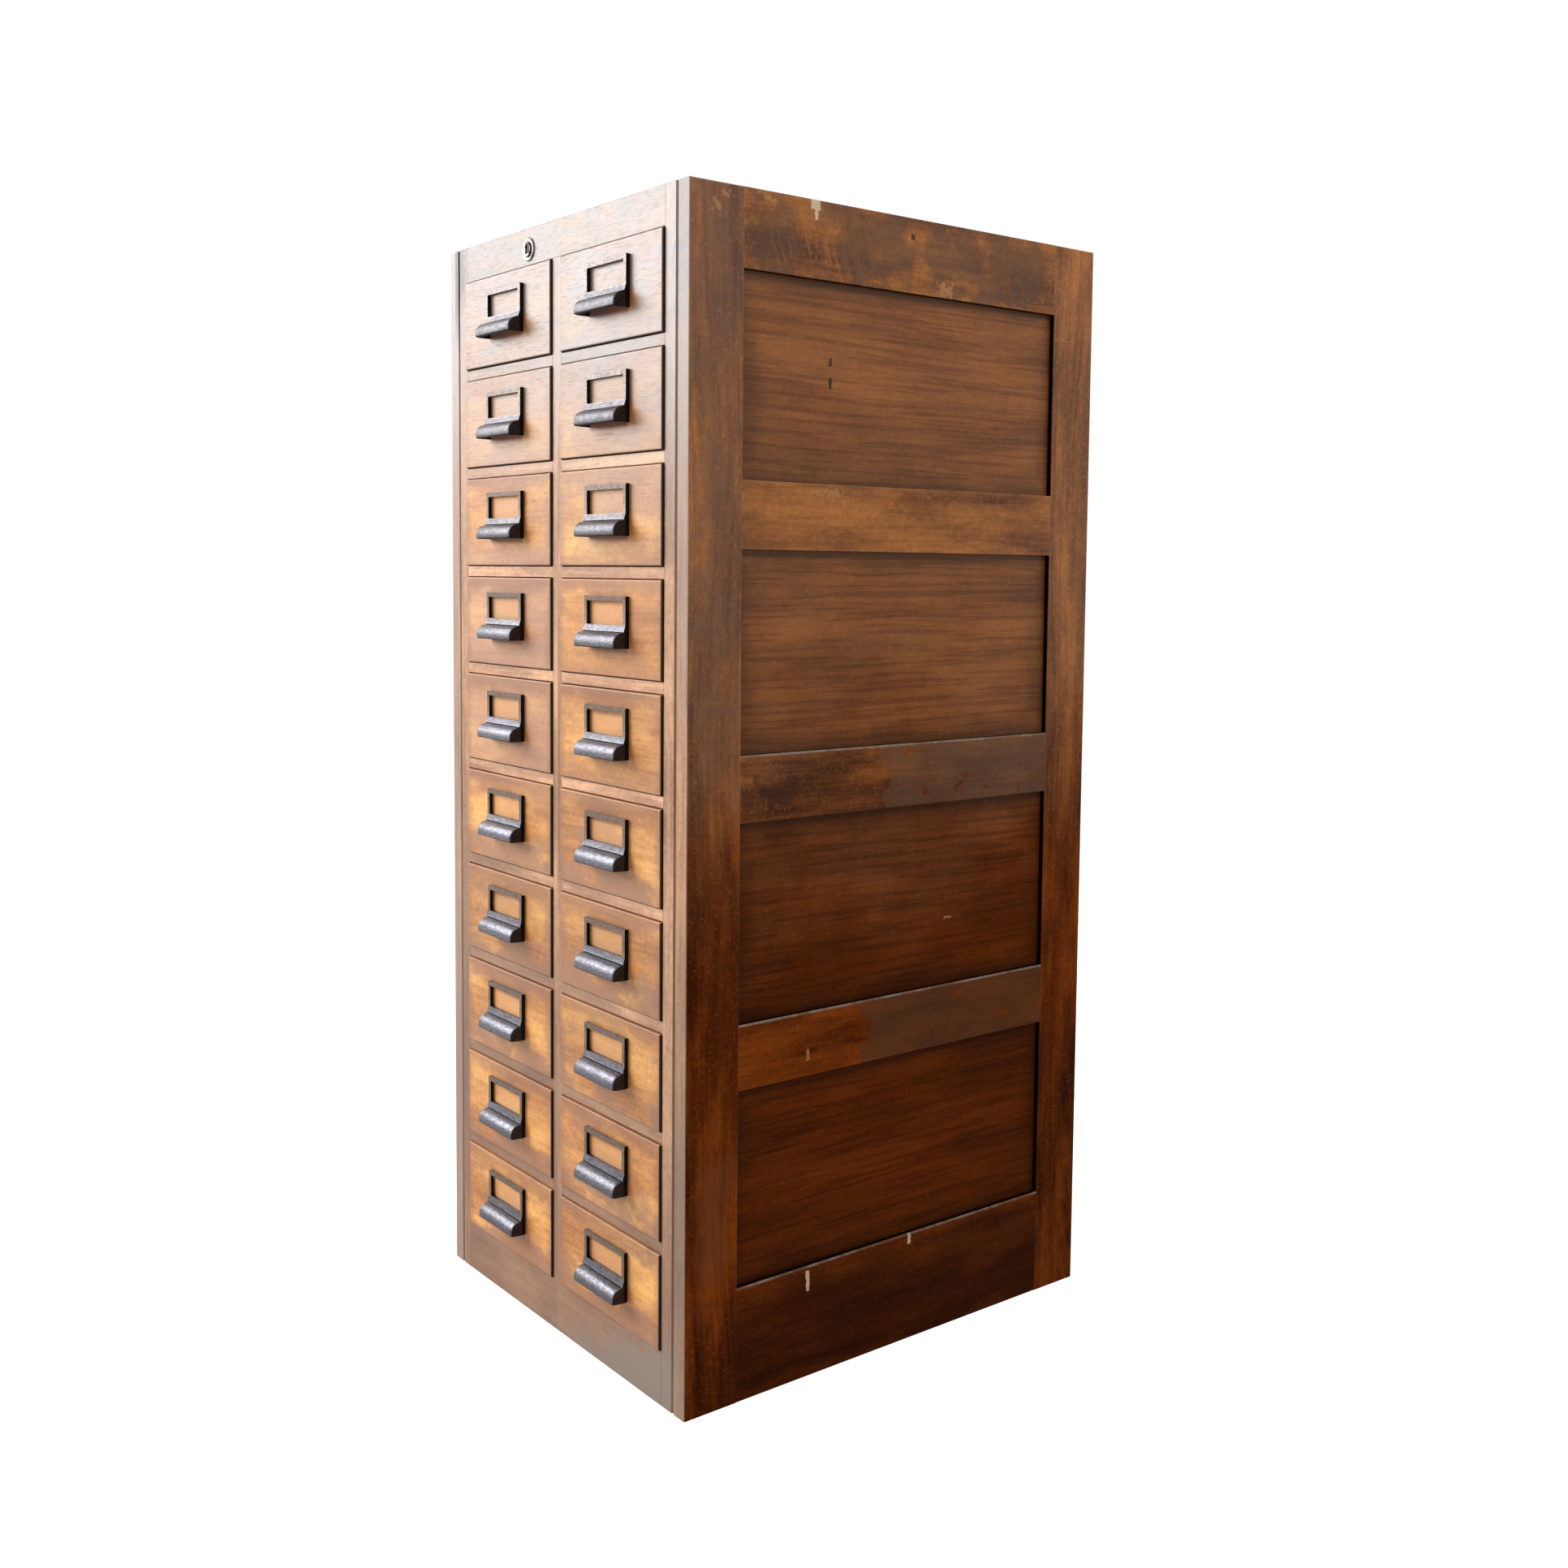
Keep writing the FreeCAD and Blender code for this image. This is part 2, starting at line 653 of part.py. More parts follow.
def pull_hollow():
    """The space for the fingers, behind the hood and open below."""
    _, _, hood, foot = pull_levels()
    past = DRAWER_FACE_Y + PULL_WALL
    centre = DRAWER_FACE_Y - HOOD_REACH + HOOD_R
    radius = HOOD_R - PULL_WALL
    slant = radius * math.sqrt(0.5)
    outline = [
        (past, hood + radius),
        (centre, hood + radius),
        (centre - slant, hood + slant),
        (centre - radius, hood),
        (centre - radius, foot - PULL_WALL),
        (past, foot - PULL_WALL),
    ]
    return prism(outline, middle(COLUMN_X, PULL_W - 2 * PULL_CHEEK))


def label_slot():
    """The thin space behind the frame, open at the top, that a label slides into."""
    window, _, _, _ = pull_levels()
    x = middle(COLUMN_X, PULL_W - 2 * PULL_BAR + 2 * LABEL_LIP)
    return block(x, (DRAWER_FACE_Y - LABEL_SLOT_D, DRAWER_FACE_Y), (window, pull_top()))


def pull_screw_height():
    """The screws enter the solid casting between the window and the hood."""
    window, sill, _, _ = pull_levels()
    return (window + sill) / 2


def pull_screw_places():
    """The two screws of a pull, in X."""
    return COLUMN_X - PULL_SCREW_SPREAD, COLUMN_X + PULL_SCREW_SPREAD


def pull_screw_holes():
    """Clearance holes through a drawer's front for the two screws."""
    y = (DRAWER_FACE_Y, DRAWER_FRONT_BACK)
    radius = PULL_SCREW_R + SCREW_PLAY
    return [rod(x, pull_screw_height(), radius, y) for x in pull_screw_places()]


def pull():
    """A right-hand label holder and pull, and its screws, for a drawer at height 0."""
    window, _, _, _ = pull_levels()
    z = (window, pull_top() - PULL_BAR)
    x = middle(COLUMN_X, PULL_W - 2 * PULL_BAR)
    y = (DRAWER_FACE_Y - PULL_FRAME_D, DRAWER_FACE_Y)
    casting = pull_body().common(pull_plan())
    casting = casting.cut(block(x, y, z)).cut(pull_hollow()).cut(label_slot())
    screws = []
    for x in pull_screw_places():
        height = pull_screw_height()
        shank = (DRAWER_FACE_Y - PULL_SCREW_BITE, DRAWER_FRONT_BACK)
        casting = casting.cut(rod(x, height, PULL_SCREW_R, (shank[0], DRAWER_FACE_Y)))
        head = (DRAWER_FRONT_BACK, DRAWER_FRONT_BACK + PULL_SCREW_HEAD_H)
        screw = rod(x, height, PULL_SCREW_R, shank)
        screws.append(screw.fuse(rod(x, height, PULL_SCREW_HEAD_R, head)))
    return [casting] + screws


# Lock


def lock_bore():
    """The hole in the top rail that takes the lock's tube."""
    return rod(LOCK_X, LOCK_Z, LOCK_TUBE_R, (FRONT_Y, FRONT_Y + LOCK_TUBE_L))


def lock_pocket():
    """The pocket in the back of the top rail for the lock's plate and crank."""
    z = (LOCK_Z - LOCK_POCKET_BELOW, LOCK_Z + LOCK_POCKET_ABOVE)
    y = (FRONT_Y + LOCK_TUBE_L, FRAME_Y)
    return block(middle(LOCK_X, LOCK_POCKET_W), y, z)


def lock_screws():
    """The two screws that hold the lock's plate."""
    end = FRONT_Y + LOCK_TUBE_L + LOCK_PLATE_T
    y = (end - LOCK_SCREW_L, end)
    places = (LOCK_X - LOCK_SCREW_SPREAD, LOCK_X + LOCK_SCREW_SPREAD)
    return [rod(x, LOCK_Z, LOCK_SCREW_R, y) for x in places]


def lock_case():
    """The lock's tube and plate, and its screws."""
    plate_y = (FRONT_Y + LOCK_TUBE_L, FRONT_Y + LOCK_TUBE_L + LOCK_PLATE_T)
    plate = block(middle(LOCK_X, LOCK_PLATE_W), plate_y, middle(LOCK_Z, LOCK_PLATE_H))
    body = rod(LOCK_X, LOCK_Z, LOCK_TUBE_R, (FRONT_Y, plate_y[0])).fuse(plate)
    body = body.cut(rod(LOCK_X, LOCK_Z, BARREL_R + BARREL_PLAY, (FRONT_Y, plate_y[1])))
    return [without(body, lock_screws())] + lock_screws()


def keyhole_escutcheon():
    """The ring around the lock on the face of the top rail."""
    ring = rod(LOCK_X, LOCK_Z, ESCUTCHEON_R, (FRONT_Y - ESCUTCHEON_T, FRONT_Y))
    rim = [e for e in ring.Edges if len(e.Vertexes) == 1 and e.BoundBox.YMax < FRONT_Y]
    ring = ring.makeFillet(ESCUTCHEON_EDGE, rim)
    hole_r = BARREL_R + ESCUTCHEON_PLAY
    return ring.cut(rod(LOCK_X, LOCK_Z, hole_r, (FRONT_Y - ESCUTCHEON_T, FRONT_Y)))


def lock_barrel():
    """The turning plug with its keyhole, and behind it the crank and pin that lift the bar."""
    crank_start = FRONT_Y + LOCK_TUBE_L + LOCK_PLATE_T + CRANK_GAP
    crank_y = (crank_start, crank_start + CRANK_T)
    face = FRONT_Y - BARREL_PROUD
    plug = rod(LOCK_X, LOCK_Z, BARREL_R, (face, crank_start))
    plug = plug.cut(rod(LOCK_X, LOCK_Z + KEY_HOLE_R, KEY_HOLE_R, (face, face + KEY_DEPTH)))
    slot_z = (LOCK_Z + KEY_HOLE_R - KEY_SLOT_H, LOCK_Z + KEY_HOLE_R)
    plug = plug.cut(block(middle(LOCK_X, KEY_SLOT_W), (face, face + KEY_DEPTH), slot_z))
    pin_z = LOCK_Z - LOCK_LIFT
    crank = block(middle(LOCK_X, 2 * CRANK_R), crank_y, (pin_z, LOCK_Z))
    crank = crank.fuse(rod(LOCK_X, LOCK_Z, CRANK_R, crank_y))
    crank = crank.fuse(rod(LOCK_X, pin_z, CRANK_R, crank_y))
    pin_end = BAR_Y + BAR_T + CRANK_PIN_PAST
    pin = rod(LOCK_X, pin_z, CRANK_PIN_R, (crank_y[1], pin_end))
    return plug.fuse(crank).fuse(pin).removeSplitter()


def lock_bar():
    """The sliding bar: an arm that the crank's pin lifts, an upright and twenty lugs."""
    y = (BAR_Y, BAR_Y + BAR_T)
    pin_z = LOCK_Z - LOCK_LIFT
    arm_z = middle(pin_z, ARM_H)
    foot = floor_of(ROWS - 1) - BAR_FOOT
    bar = block(middle(0, BAR_W), y, (foot, arm_z[1]))
    slot_end = CRANK_PIN_R + ARM_SLOT_PLAY
    slot_x = (LOCK_X - LOCK_LIFT - slot_end, LOCK_X + slot_end)
    bar = bar.fuse(block((slot_x[0] - ARM_END, BAR_W / 2), y, arm_z))
    bar = bar.cut(block(slot_x, y, middle(pin_z, ARM_SLOT_H)))
    for row in range(ROWS):
        lug_top = floor_of(row) - LUG_DROP
        bar = bar.fuse(block((-LUG_REACH, LUG_REACH), y, (lug_top - LUG_H, lug_top)))
    return bar.removeSplitter()


# Whole chest


def save_drawers():
    """Write each drawer and its pull, from the top row down."""
    box = drawer_box()
    handle = pull()
    for row in range(ROWS):
        lift = FreeCAD.Vector(0, 0, floor_of(row))
        for name, pieces in (("drawer", box), ("pull", handle)):
            placed = [p.translated(lift) for p in pieces]
            save(f"{name}_right_{row + 1:02d}", placed)
            save(f"{name}_left_{row + 1:02d}", mirrored(placed))


def save_case():
    """Write the fixed pieces of the case."""
    for name, pieces in (
        ("side_stiles", side_stiles()),
        ("side_rails", side_rails()),
        ("side_panels", side_panels()),
    ):
        save(f"{name}_right", pieces)
        save(f"{name}_left", mirrored(pieces))
    save("back_frame", back_frame())
    save("back_panels", back_panels())
    save("front_stiles", front_stiles())
    save("front_rails", front_rails())
    save("drawer_rails", drawer_rails())
    save("top_board", [top_board()])
    save("bottom_board", [bottom_board()])
    save("centre_partition", [centre_partition()])
    save("drawer_runners", drawer_runners())
    save("drawer_stops", drawer_stops())


def save_lock():
    """Write the lock and the bar that it lifts."""
    save("lock_case", lock_case())
    save("keyhole_escutcheon", [keyhole_escutcheon()])
    save("lock_barrel", [lock_barrel()])
    save("lock_bar", [lock_bar()])


os.makedirs("parts", exist_ok=True)
save_case()
save_lock()
save_drawers()
print(f"case {2 * CASE_X:.1f} wide, {CASE_D:.1f} deep, {CASE_H:.1f} high")
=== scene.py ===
# %% [markdown]
# An index card chest in Blender
#
# The real object is a tall oak chest with two columns of ten card drawers. Each drawer has a
# cast holder for a label, with a hooded finger pull under it. The wood was stained and
# varnished long ago. The front has worn to a warm golden brown, and the sides stayed dark.
#
# The boards, drawers and lock come ready made from the construction model, at their real
# size. This script gives them their finish, models the castings and the keyhole ring, and
# sets up the camera, the floor and the light. Everything is in metres.

import bpy
import math
from mathutils import Matrix, Vector


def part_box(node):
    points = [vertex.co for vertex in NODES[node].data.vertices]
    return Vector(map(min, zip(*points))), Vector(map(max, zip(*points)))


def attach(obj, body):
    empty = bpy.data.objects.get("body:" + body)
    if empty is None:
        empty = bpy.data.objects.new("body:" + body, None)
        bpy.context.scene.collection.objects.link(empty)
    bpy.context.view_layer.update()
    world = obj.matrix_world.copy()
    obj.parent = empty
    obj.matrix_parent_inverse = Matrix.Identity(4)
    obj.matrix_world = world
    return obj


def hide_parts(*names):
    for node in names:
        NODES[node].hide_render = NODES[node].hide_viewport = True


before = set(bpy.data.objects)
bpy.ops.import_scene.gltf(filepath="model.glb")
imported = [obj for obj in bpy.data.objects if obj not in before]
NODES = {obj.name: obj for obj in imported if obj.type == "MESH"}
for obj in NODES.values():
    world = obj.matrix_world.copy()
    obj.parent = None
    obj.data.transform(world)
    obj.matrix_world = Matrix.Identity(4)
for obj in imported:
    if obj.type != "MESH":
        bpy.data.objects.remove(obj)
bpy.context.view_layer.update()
SIDES = ("right", "left")
ROWS = 10

# %% [markdown]
# The places that the finishes need are read from the model and not typed in. A drawer row is
# found by its pitch, because every row is the same. Only the widths of a few boards inside
# shared nodes are named further on, where a finish needs them.

# %% Measure the chest
CASE_LOW, CASE_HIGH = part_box("side_stiles_right")
CASE_X = CASE_HIGH.x
CASE_H = CASE_HIGH.z
FRONT_Y = CASE_LOW.y
BACK_Y = CASE_HIGH.y
DRAWER_LOW, DRAWER_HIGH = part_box("drawer_right_10")
ROW_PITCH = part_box("drawer_right_09")[0].z - DRAWER_LOW.z
COLUMN_X = (DRAWER_LOW.x + DRAWER_HIGH.x) / 2
DRAWER_HALF_W = (DRAWER_HIGH.x - DRAWER_LOW.x) / 2
DRAWER_FACE_Y = DRAWER_LOW.y
PANEL_FACE_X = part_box("side_panels_right")[1].x
SCREW_HEAD = 0.0022
PULL_LOW, PULL_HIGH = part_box("pull_right_01")
DRAWER_FRONT_BACK = PULL_HIGH.y - SCREW_HEAD
print("case", CASE_X * 2, "wide", CASE_H, "high, rows every", ROW_PITCH)

# %% [markdown]
# The camera stands where the photographer stood: in front of the chest and to its right, at
# two thirds of its height, looking a little down. Its place and turn were worked out from the
# corners of the case, the drawers and the panels. The shift keeps the upright edges in the
# same place in the frame without tilting the camera more.

# %% Camera
CAMERA_PLACE = (1.5424, -1.1620, 0.8467)
CAMERA_YAW = math.radians(51.99)
CAMERA_PITCH = math.radians(-4.158)
CAMERA_ROLL = math.radians(0.534)
CAMERA_LENS = 37.355
CAMERA_SHIFT = (-0.00178, -0.0591)
camera = bpy.data.objects.new("camera", bpy.data.cameras.new("camera"))
bpy.context.scene.collection.objects.link(camera)
camera.data.sensor_width = 36
camera.data.lens = CAMERA_LENS
camera.data.shift_x, camera.data.shift_y = CAMERA_SHIFT
camera.location = CAMERA_PLACE
turn = Matrix.Rotation(CAMERA_YAW, 4, "Z") @ Matrix.Rotation(math.radians(90) + CAMERA_PITCH, 4, "X")
camera.rotation_euler = (turn @ Matrix.Rotation(CAMERA_ROLL, 4, "Z")).to_euler()
bpy.context.scene.camera = camera
print("camera at", tuple(camera.location))

# %% [markdown]
# A large soft window light stands to the left of the front. The varnish mirrors it on the
# upper drawers, and the slopes of the pulls catch it. A smaller light high up to the right
# of the side draws the dark line under each rail, and fades towards the floor. The floor is
# plain and pale and keeps the shadow.

# %% Light and floor
bpy.context.scene.view_settings.view_transform = "Standard"


def area_light(name, place, target, size, power):
    """A rectangular lamp that faces a point."""
    data = bpy.data.lights.new(name, "AREA")
    data.shape = "RECTANGLE"
    data.size, data.size_y = size
    data.energy = power
    lamp = bpy.data.objects.new(name, data)
    bpy.context.scene.collection.objects.link(lamp)
    lamp.location = place
    lamp.rotation_euler = (Vector(target) - Vector(place)).to_track_quat("-Z", "Y").to_euler()


WINDOW_WATTS = 178
SIDE_WATTS = 27
area_light("window_light", (-2.72, -2.42, 2.35), (0, -0.2, 0.8), (3.0, 2.3), WINDOW_WATTS)
area_light("side_light", (1.75, 0.5, 2.60), (0.25, 0.0, 0.80), (0.9, 0.9), SIDE_WATTS)

FLOOR_SIZE = 12
bpy.ops.object.select_all(action="DESELECT")
bpy.ops.mesh.primitive_plane_add(size=FLOOR_SIZE, location=(0, 0, 0))
floor = bpy.context.object
floor.name = "floor"
print("lamps and floor ready")

# %% [markdown]
# Materials are node trees. Python can build them node by node, but the same few steps come back
# all the time, so short helpers keep the making readable. The first ones add a node and give
# its sockets a link or a plain value.

# %% Helpers that add nodes


def add(tree, kind, **values):
    """Add a shader node and set its properties."""
    node = tree.nodes.new("ShaderNode" + kind)
    for name, value in values.items():
        setattr(node, name, value)
    return node


def feed(tree, socket, value):
    """Link a socket to another one, or set its plain value."""
    if isinstance(value, bpy.types.NodeSocket):
        tree.links.new(value, socket)
    else:
        socket.default_value = value


def feed_all(tree, node, *values):
    """Feed the first inputs of a node in their order. Returns its first output."""
    for socket, value in zip(node.inputs, values):
        feed(tree, socket, value)
    return node.outputs[0]


def fill(tree, node, **values):
    """Feed the inputs of a node by name, with _ for a space. Returns its outputs."""
    for name, value in values.items():
        feed(tree, node.inputs[name.replace("_", " ")], value)
    return node.outputs


# %% [markdown]
# Masks are numbers from 0 to 1 that say where something shows. They are worked out with Math
# nodes: a product keeps what all its masks have in common, the highest keeps what any of them
# has, and a smooth step turns a height or a distance into a mask.

# %% Helpers for sums and masks


def calc(tree, operation, a, b=0.0, c=0.0, clamp=False):
    """One arithmetic node. Each of a, b and c is a number or a socket."""
    return feed_all(tree, add(tree, "Math", operation=operation, use_clamp=clamp), a, b, c)


def line(tree, value, slope, start):
    """A value times a slope, plus a start."""
    return calc(tree, "MULTIPLY_ADD", value, slope, start)


def minus(tree, a, b):
    """The difference of two numbers."""
    return calc(tree, "SUBTRACT", a, b)


def rest(tree, mask):
    """What a mask leaves over."""
    return minus(tree, 1.0, mask)


def unsigned(tree, value):
    """A number without its sign."""
    return calc(tree, "ABSOLUTE", value)


def under(tree, value, limit):
    """1 where a value is under a limit."""
    return calc(tree, "LESS_THAN", value, limit)


def over(tree, value, limit):
    """1 where a value is over a limit."""
    return calc(tree, "GREATER_THAN", value, limit)


def chain(tree, operation, values):
    """One operation from the first value to the last."""
    whole = values[0]
    for value in values[1:]:
        whole = calc(tree, operation, whole, value)
    return whole


def times(tree, *factors):
    """The product of some numbers or masks."""
    return chain(tree, "MULTIPLY", factors)


def least(tree, *values):
    """The lowest of some numbers."""
    return chain(tree, "MINIMUM", values)


def most(tree, *values):
    """The highest of some numbers or masks."""
    return chain(tree, "MAXIMUM", values)


def step(tree, value, low, high):
    """0 where the value is under low, 1 where it is over high, and smooth between."""
    return feed_all(tree, add(tree, "MapRange", interpolation_type="SMOOTHSTEP"), value, low, high, 0.0, 1.0)


def band(tree, value, start, rising, falling, end):
    """1 from rising to falling, and smooth down to 0 at the start and at the end."""
    return times(tree, step(tree, value, start, rising), step(tree, value, end, falling))


# %% [markdown]
# Places are vectors. Noise is read at a place that was scaled first, so that its features can
# be long along the grain and short across it. Colours are mixed by a mask, and a colour times
# a grey is the same colour in a lighter or darker tone.

# %% Helpers for places, noise and colours


def vector(tree, x, y, z):
    """A vector from three numbers or sockets."""
    return feed_all(tree, add(tree, "CombineXYZ"), x, y, z)


def parts_of(tree, source):
    """The three numbers of a vector."""
    split = add(tree, "SeparateXYZ")
    feed(tree, split.inputs[0], source)
    return split.outputs


def scaled(tree, source, factors):
    """A vector times three factors."""
    return feed_all(tree, add(tree, "VectorMath", operation="MULTIPLY"), source, factors)


def moved(tree, source, shift):
    """A vector plus another one."""
    return feed_all(tree, add(tree, "VectorMath", operation="ADD"), source, shift)


def noise(tree, source, factors, detail=2.0, roughness=0.5):
    """Noise from 0 to 1, with that many features per metre along each axis."""
    node = add(tree, "TexNoise")
    fill(tree, node, Vector=scaled(tree, source, factors), Scale=1.0, Detail=detail, Roughness=roughness)
    return node.outputs["Fac"]


def cloud(tree, source, factors, detail=2.0, roughness=0.5):
    """The same noise from -0.5 to 0.5, for what it moves to either side."""
    return minus(tree, noise(tree, source, factors, detail, roughness), 0.5)


def blend(tree, share, a, b, mode="MIX"):
    """A mix of two colours."""
    node = add(tree, "Mix", data_type="RGBA", blend_type=mode)
    feed(tree, node.inputs[0], share)
    feed(tree, node.inputs[6], a)
    feed(tree, node.inputs[7], b)
    return node.outputs[2]


def paint(tree, color, shade, *masks):
    """A colour with a shade over it where all the masks are."""
    return blend(tree, times(tree, *masks), color, shade)


def toned(tree, color, factor):
    """A colour times a number."""
    return blend(tree, 1.0, color, vector(tree, factor, factor, factor), "MULTIPLY")


def mixed(a, b, share):
    """A plain colour between two others."""
    return tuple(p + (q - p) * share for p, q in zip(a, b))


# %% [markdown]
# What several finishes need is made once, as a node group with named inputs and outputs. A
# group is then placed in each material with values of its own.

# %% Helpers for node groups


def group(name, inputs, outputs):
    """A new node group. Its inputs are (name, kind, default) and its outputs (name, kind)."""
    tree = bpy.data.node_groups.new(name, "ShaderNodeTree")
    for label, kind, default in inputs:
        socket = tree.interface.new_socket(label, in_out="INPUT", socket_type="NodeSocket" + kind)
        if default is not None:
            socket.default_value = default
    for label, kind in outputs:
        tree.interface.new_socket(label, in_out="OUTPUT", socket_type="NodeSocket" + kind)
    return tree, tree.nodes.new("NodeGroupInput").outputs, tree.nodes.new("NodeGroupOutput")


def use(tree, source, **values):
    """Place a node group and set its inputs by name, with _ for a space."""
    node = tree.nodes.new("ShaderNodeGroup")
    node.node_tree = source
    return fill(tree, node, **values)


def object_place(tree):
    """Where a point lies in the chest at rest."""
    return add(tree, "TexCoord").outputs["Object"]


# %% [markdown]
# Oak shows its growth as long dark lines, its pores as short dashes, and where it is cut
# towards the middle of the tree it has pale flecks across the grain. Old stain and varnish
# add warm and dark areas, and dust adds fine mottling. All of these are noise, and the first
# ones are stretched along the grain. The group takes a place whose X runs along the grain, so
# that one group serves every board, however it is turned. Seed shifts the noise from one
# board to the next, because no two boards are alike.

# %% Oak
GRAIN_BROWN = (0.40, 0.34, 0.30, 1)
PORE_BROWN = (0.34, 0.26, 0.20, 1)
FLECK_SHINE = (1.45, 1.40, 1.35, 1)
SEED_SHIFT = 7.3
SEED_SHIFT_UP = 0.61
GRAIN_DEPTH = 0.0004


def oak_places(tree, given):
    """A board's own place in the noise, and the same place where the grain sways."""
    shift = times(tree, given["Seed"], SEED_SHIFT)
    place = moved(tree, given["Place"], vector(tree, shift, shift, times(tree, shift, SEED_SHIFT_UP)))
    sway = times(tree, cloud(tree, place, (2.2, 9, 9), 1.0), given["Sway"])
    return place, moved(tree, place, vector(tree, 0.0, sway, 0.0))


def make_oak():
    """Colour, roughness and height of varnished oak."""
    tree, given, result = group(
        "oak",
        [
            ("Place", "Vector", None),
            ("Seed", "Float", 0.0),
            ("Light", "Color", (0.40, 0.17, 0.06, 1)),
            ("Dark", "Color", (0.20, 0.08, 0.03, 1)),
            ("Glow", "Color", (0.50, 0.20, 0.06, 1)),
            ("Warm", "Float", 0.5),
            ("Lines", "Float", 0.5),
            ("Sway", "Float", 0.02),
            ("Fleck", "Float", 0.3),
            ("Mottle", "Float", 0.3),
            ("Gloss", "Float", 0.5),
        ],
        [("Color", "Color"), ("Roughness", "Float"), ("Height", "Float")],
    )
    place, swayed = oak_places(tree, given)
    broad = noise(tree, swayed, (1.6, 26, 26), 2.0)
    streak = noise(tree, swayed, (8, 190, 190), 3.0, 0.65)
    tone = step(tree, line(tree, broad, 0.6, times(tree, streak, 0.4)), 0.36, 0.62)
    pores = step(tree, noise(tree, swayed, (70, 1500, 1500), 1.0), 0.60, 0.72)
    lines = step(tree, noise(tree, swayed, (6, 210, 210), 2.0, 0.7), 0.47, 0.60)
    drawn = times(tree, lines, given["Lines"])
    flecks = step(tree, noise(tree, place, (330, 260, 260), 2.0), 0.57, 0.68)
    areas = noise(tree, place, (5, 18, 18), 4.0, 0.62)
    uneven = minus(tree, areas, 0.5)
    dust = cloud(tree, place, (150, 150, 150), 4.0, 0.75)

    color = blend(tree, tone, given["Dark"], given["Light"])
    color = paint(tree, color, given["Glow"], step(tree, areas, 0.42, 0.66), given["Warm"])
    color = blend(tree, drawn, color, GRAIN_BROWN, "MULTIPLY")
    color = blend(tree, times(tree, pores, 0.35), color, PORE_BROWN, "MULTIPLY")
    bright = blend(tree, 1.0, given["Glow"], FLECK_SHINE, "MULTIPLY")
    color = paint(tree, color, bright, flecks, given["Fleck"])
    mottle = line(tree, uneven, 1.2, dust)
    color = toned(tree, color, line(tree, mottle, given["Mottle"], 1.0))

    rough = line(tree, uneven, 0.25, given["Gloss"])
    rough = calc(tree, "MULTIPLY_ADD", pores, 0.2, rough, clamp=True)
    low = line(tree, drawn, -0.6, times(tree, pores, -0.8))
    height = calc(tree, "ADD", low, times(tree, streak, 0.5))
    fill(tree, result, Color=color, Roughness=rough, Height=height)
    return tree


OAK = make_oak()
print("oak group with", len(OAK.nodes), "nodes")

# %% [markdown]
# Hands, cloths and other furniture rub the finish off the edges. The Bevel node gives the
# normal that a rounded edge would have. Where it differs from the real one, an edge is near,
# and noise breaks the line up so that it isn't even.

# %% Edge wear


def make_wear():
    """A mask of the rubbed edges."""
    tree, given, result = group(
        "edge_wear",
        [("Width", "Float", 0.002), ("Amount", "Float", 0.6)],
        [("Mask", "Float")],
    )
    rounded = add(tree, "Bevel", samples=4)
    feed(tree, rounded.inputs["Radius"], given["Width"])
    geometry = add(tree, "NewGeometry")
    dot = add(tree, "VectorMath", operation="DOT_PRODUCT")
    feed_all(tree, dot, rounded.outputs[0], geometry.outputs["Normal"])
    edge = step(tree, rest(tree, dot.outputs["Value"]), 0.01, 0.16)
    broken = step(tree, noise(tree, object_place(tree), (60, 60, 60), 4.0, 0.7), 0.38, 0.62)
    fill(tree, result, Mask=times(tree, edge, given["Amount"], line(tree, broken, 0.8, 0.2)))
    return tree


WEAR = make_wear()
print("edge wear group with", len(WEAR.nodes), "nodes")

# %% [markdown]
# The boards of one node share a material, so the material itself has to tell them apart. The
# drawers and panels repeat at an even pitch up the chest. This group counts the repeats and
# gives each one a number of its own, and how far up its own repeat a point lies.

# %% Count the rows


def make_count():
    """A number from 0 to 1 for each repeat and column, its row, and the height within it."""
    tree, given, result = group(
        "board_count",
        [("Foot", "Float", 0.0), ("Pitch", "Float", 0.1)],
        [("Seed", "Float"), ("Row", "Float"), ("Rise", "Float")],
    )
    x, y, z = parts_of(tree, object_place(tree))
    repeats = calc(tree, "DIVIDE", minus(tree, z, given["Foot"]), given["Pitch"])
    row = calc(tree, "FLOOR", repeats)
    white = add(tree, "TexWhiteNoise", noise_dimensions="2D")
    feed(tree, white.inputs["Vector"], vector(tree, row, calc(tree, "SIGN", x), 0.0))
    rise = times(tree, calc(tree, "FRACT", repeats), given["Pitch"])
    fill(tree, result, Seed=white.outputs["Value"], Row=row, Rise=rise)
    return tree


COUNT = make_count()
print("board count group with", len(COUNT.nodes), "nodes")

# %% [markdown]
# A finish is one Principled shader. Its colour, roughness and bump come from the oak group,
# and the wear mask lightens the edges. Each board says which way its grain runs.

# %% Start a finish


def principled(name, specular=0.5, coat_roughness=0.25):
    """A new material with its shader."""
    material = bpy.data.materials.new(name)
    material.use_nodes = True
    shader = material.node_tree.nodes["Principled BSDF"]
    shader.inputs["Specular IOR Level"].default_value = specular
    shader.inputs["Coat Roughness"].default_value = coat_roughness
    return material, material.node_tree, shader


def facing(tree):
    """The true normal of the surface, as three numbers."""
    return parts_of(tree, add(tree, "NewGeometry").outputs["True Normal"])


def along(tree, place, axis):
    """The place with its X along the grain. axis is the way that the grain runs."""
    x, y, z = parts_of(tree, place)
    order = {"X": (x, z, y), "Y": (y, z, x), "Z": (z, y, x)}[axis]
    return vector(tree, *order)


def oak(tree, lie, shades, **values):
    """The oak group, with its light, dark and glowing colour."""
    light, dark, glow = shades
    return use(tree, OAK, Place=lie, Light=light, Dark=dark, Glow=glow, **values)


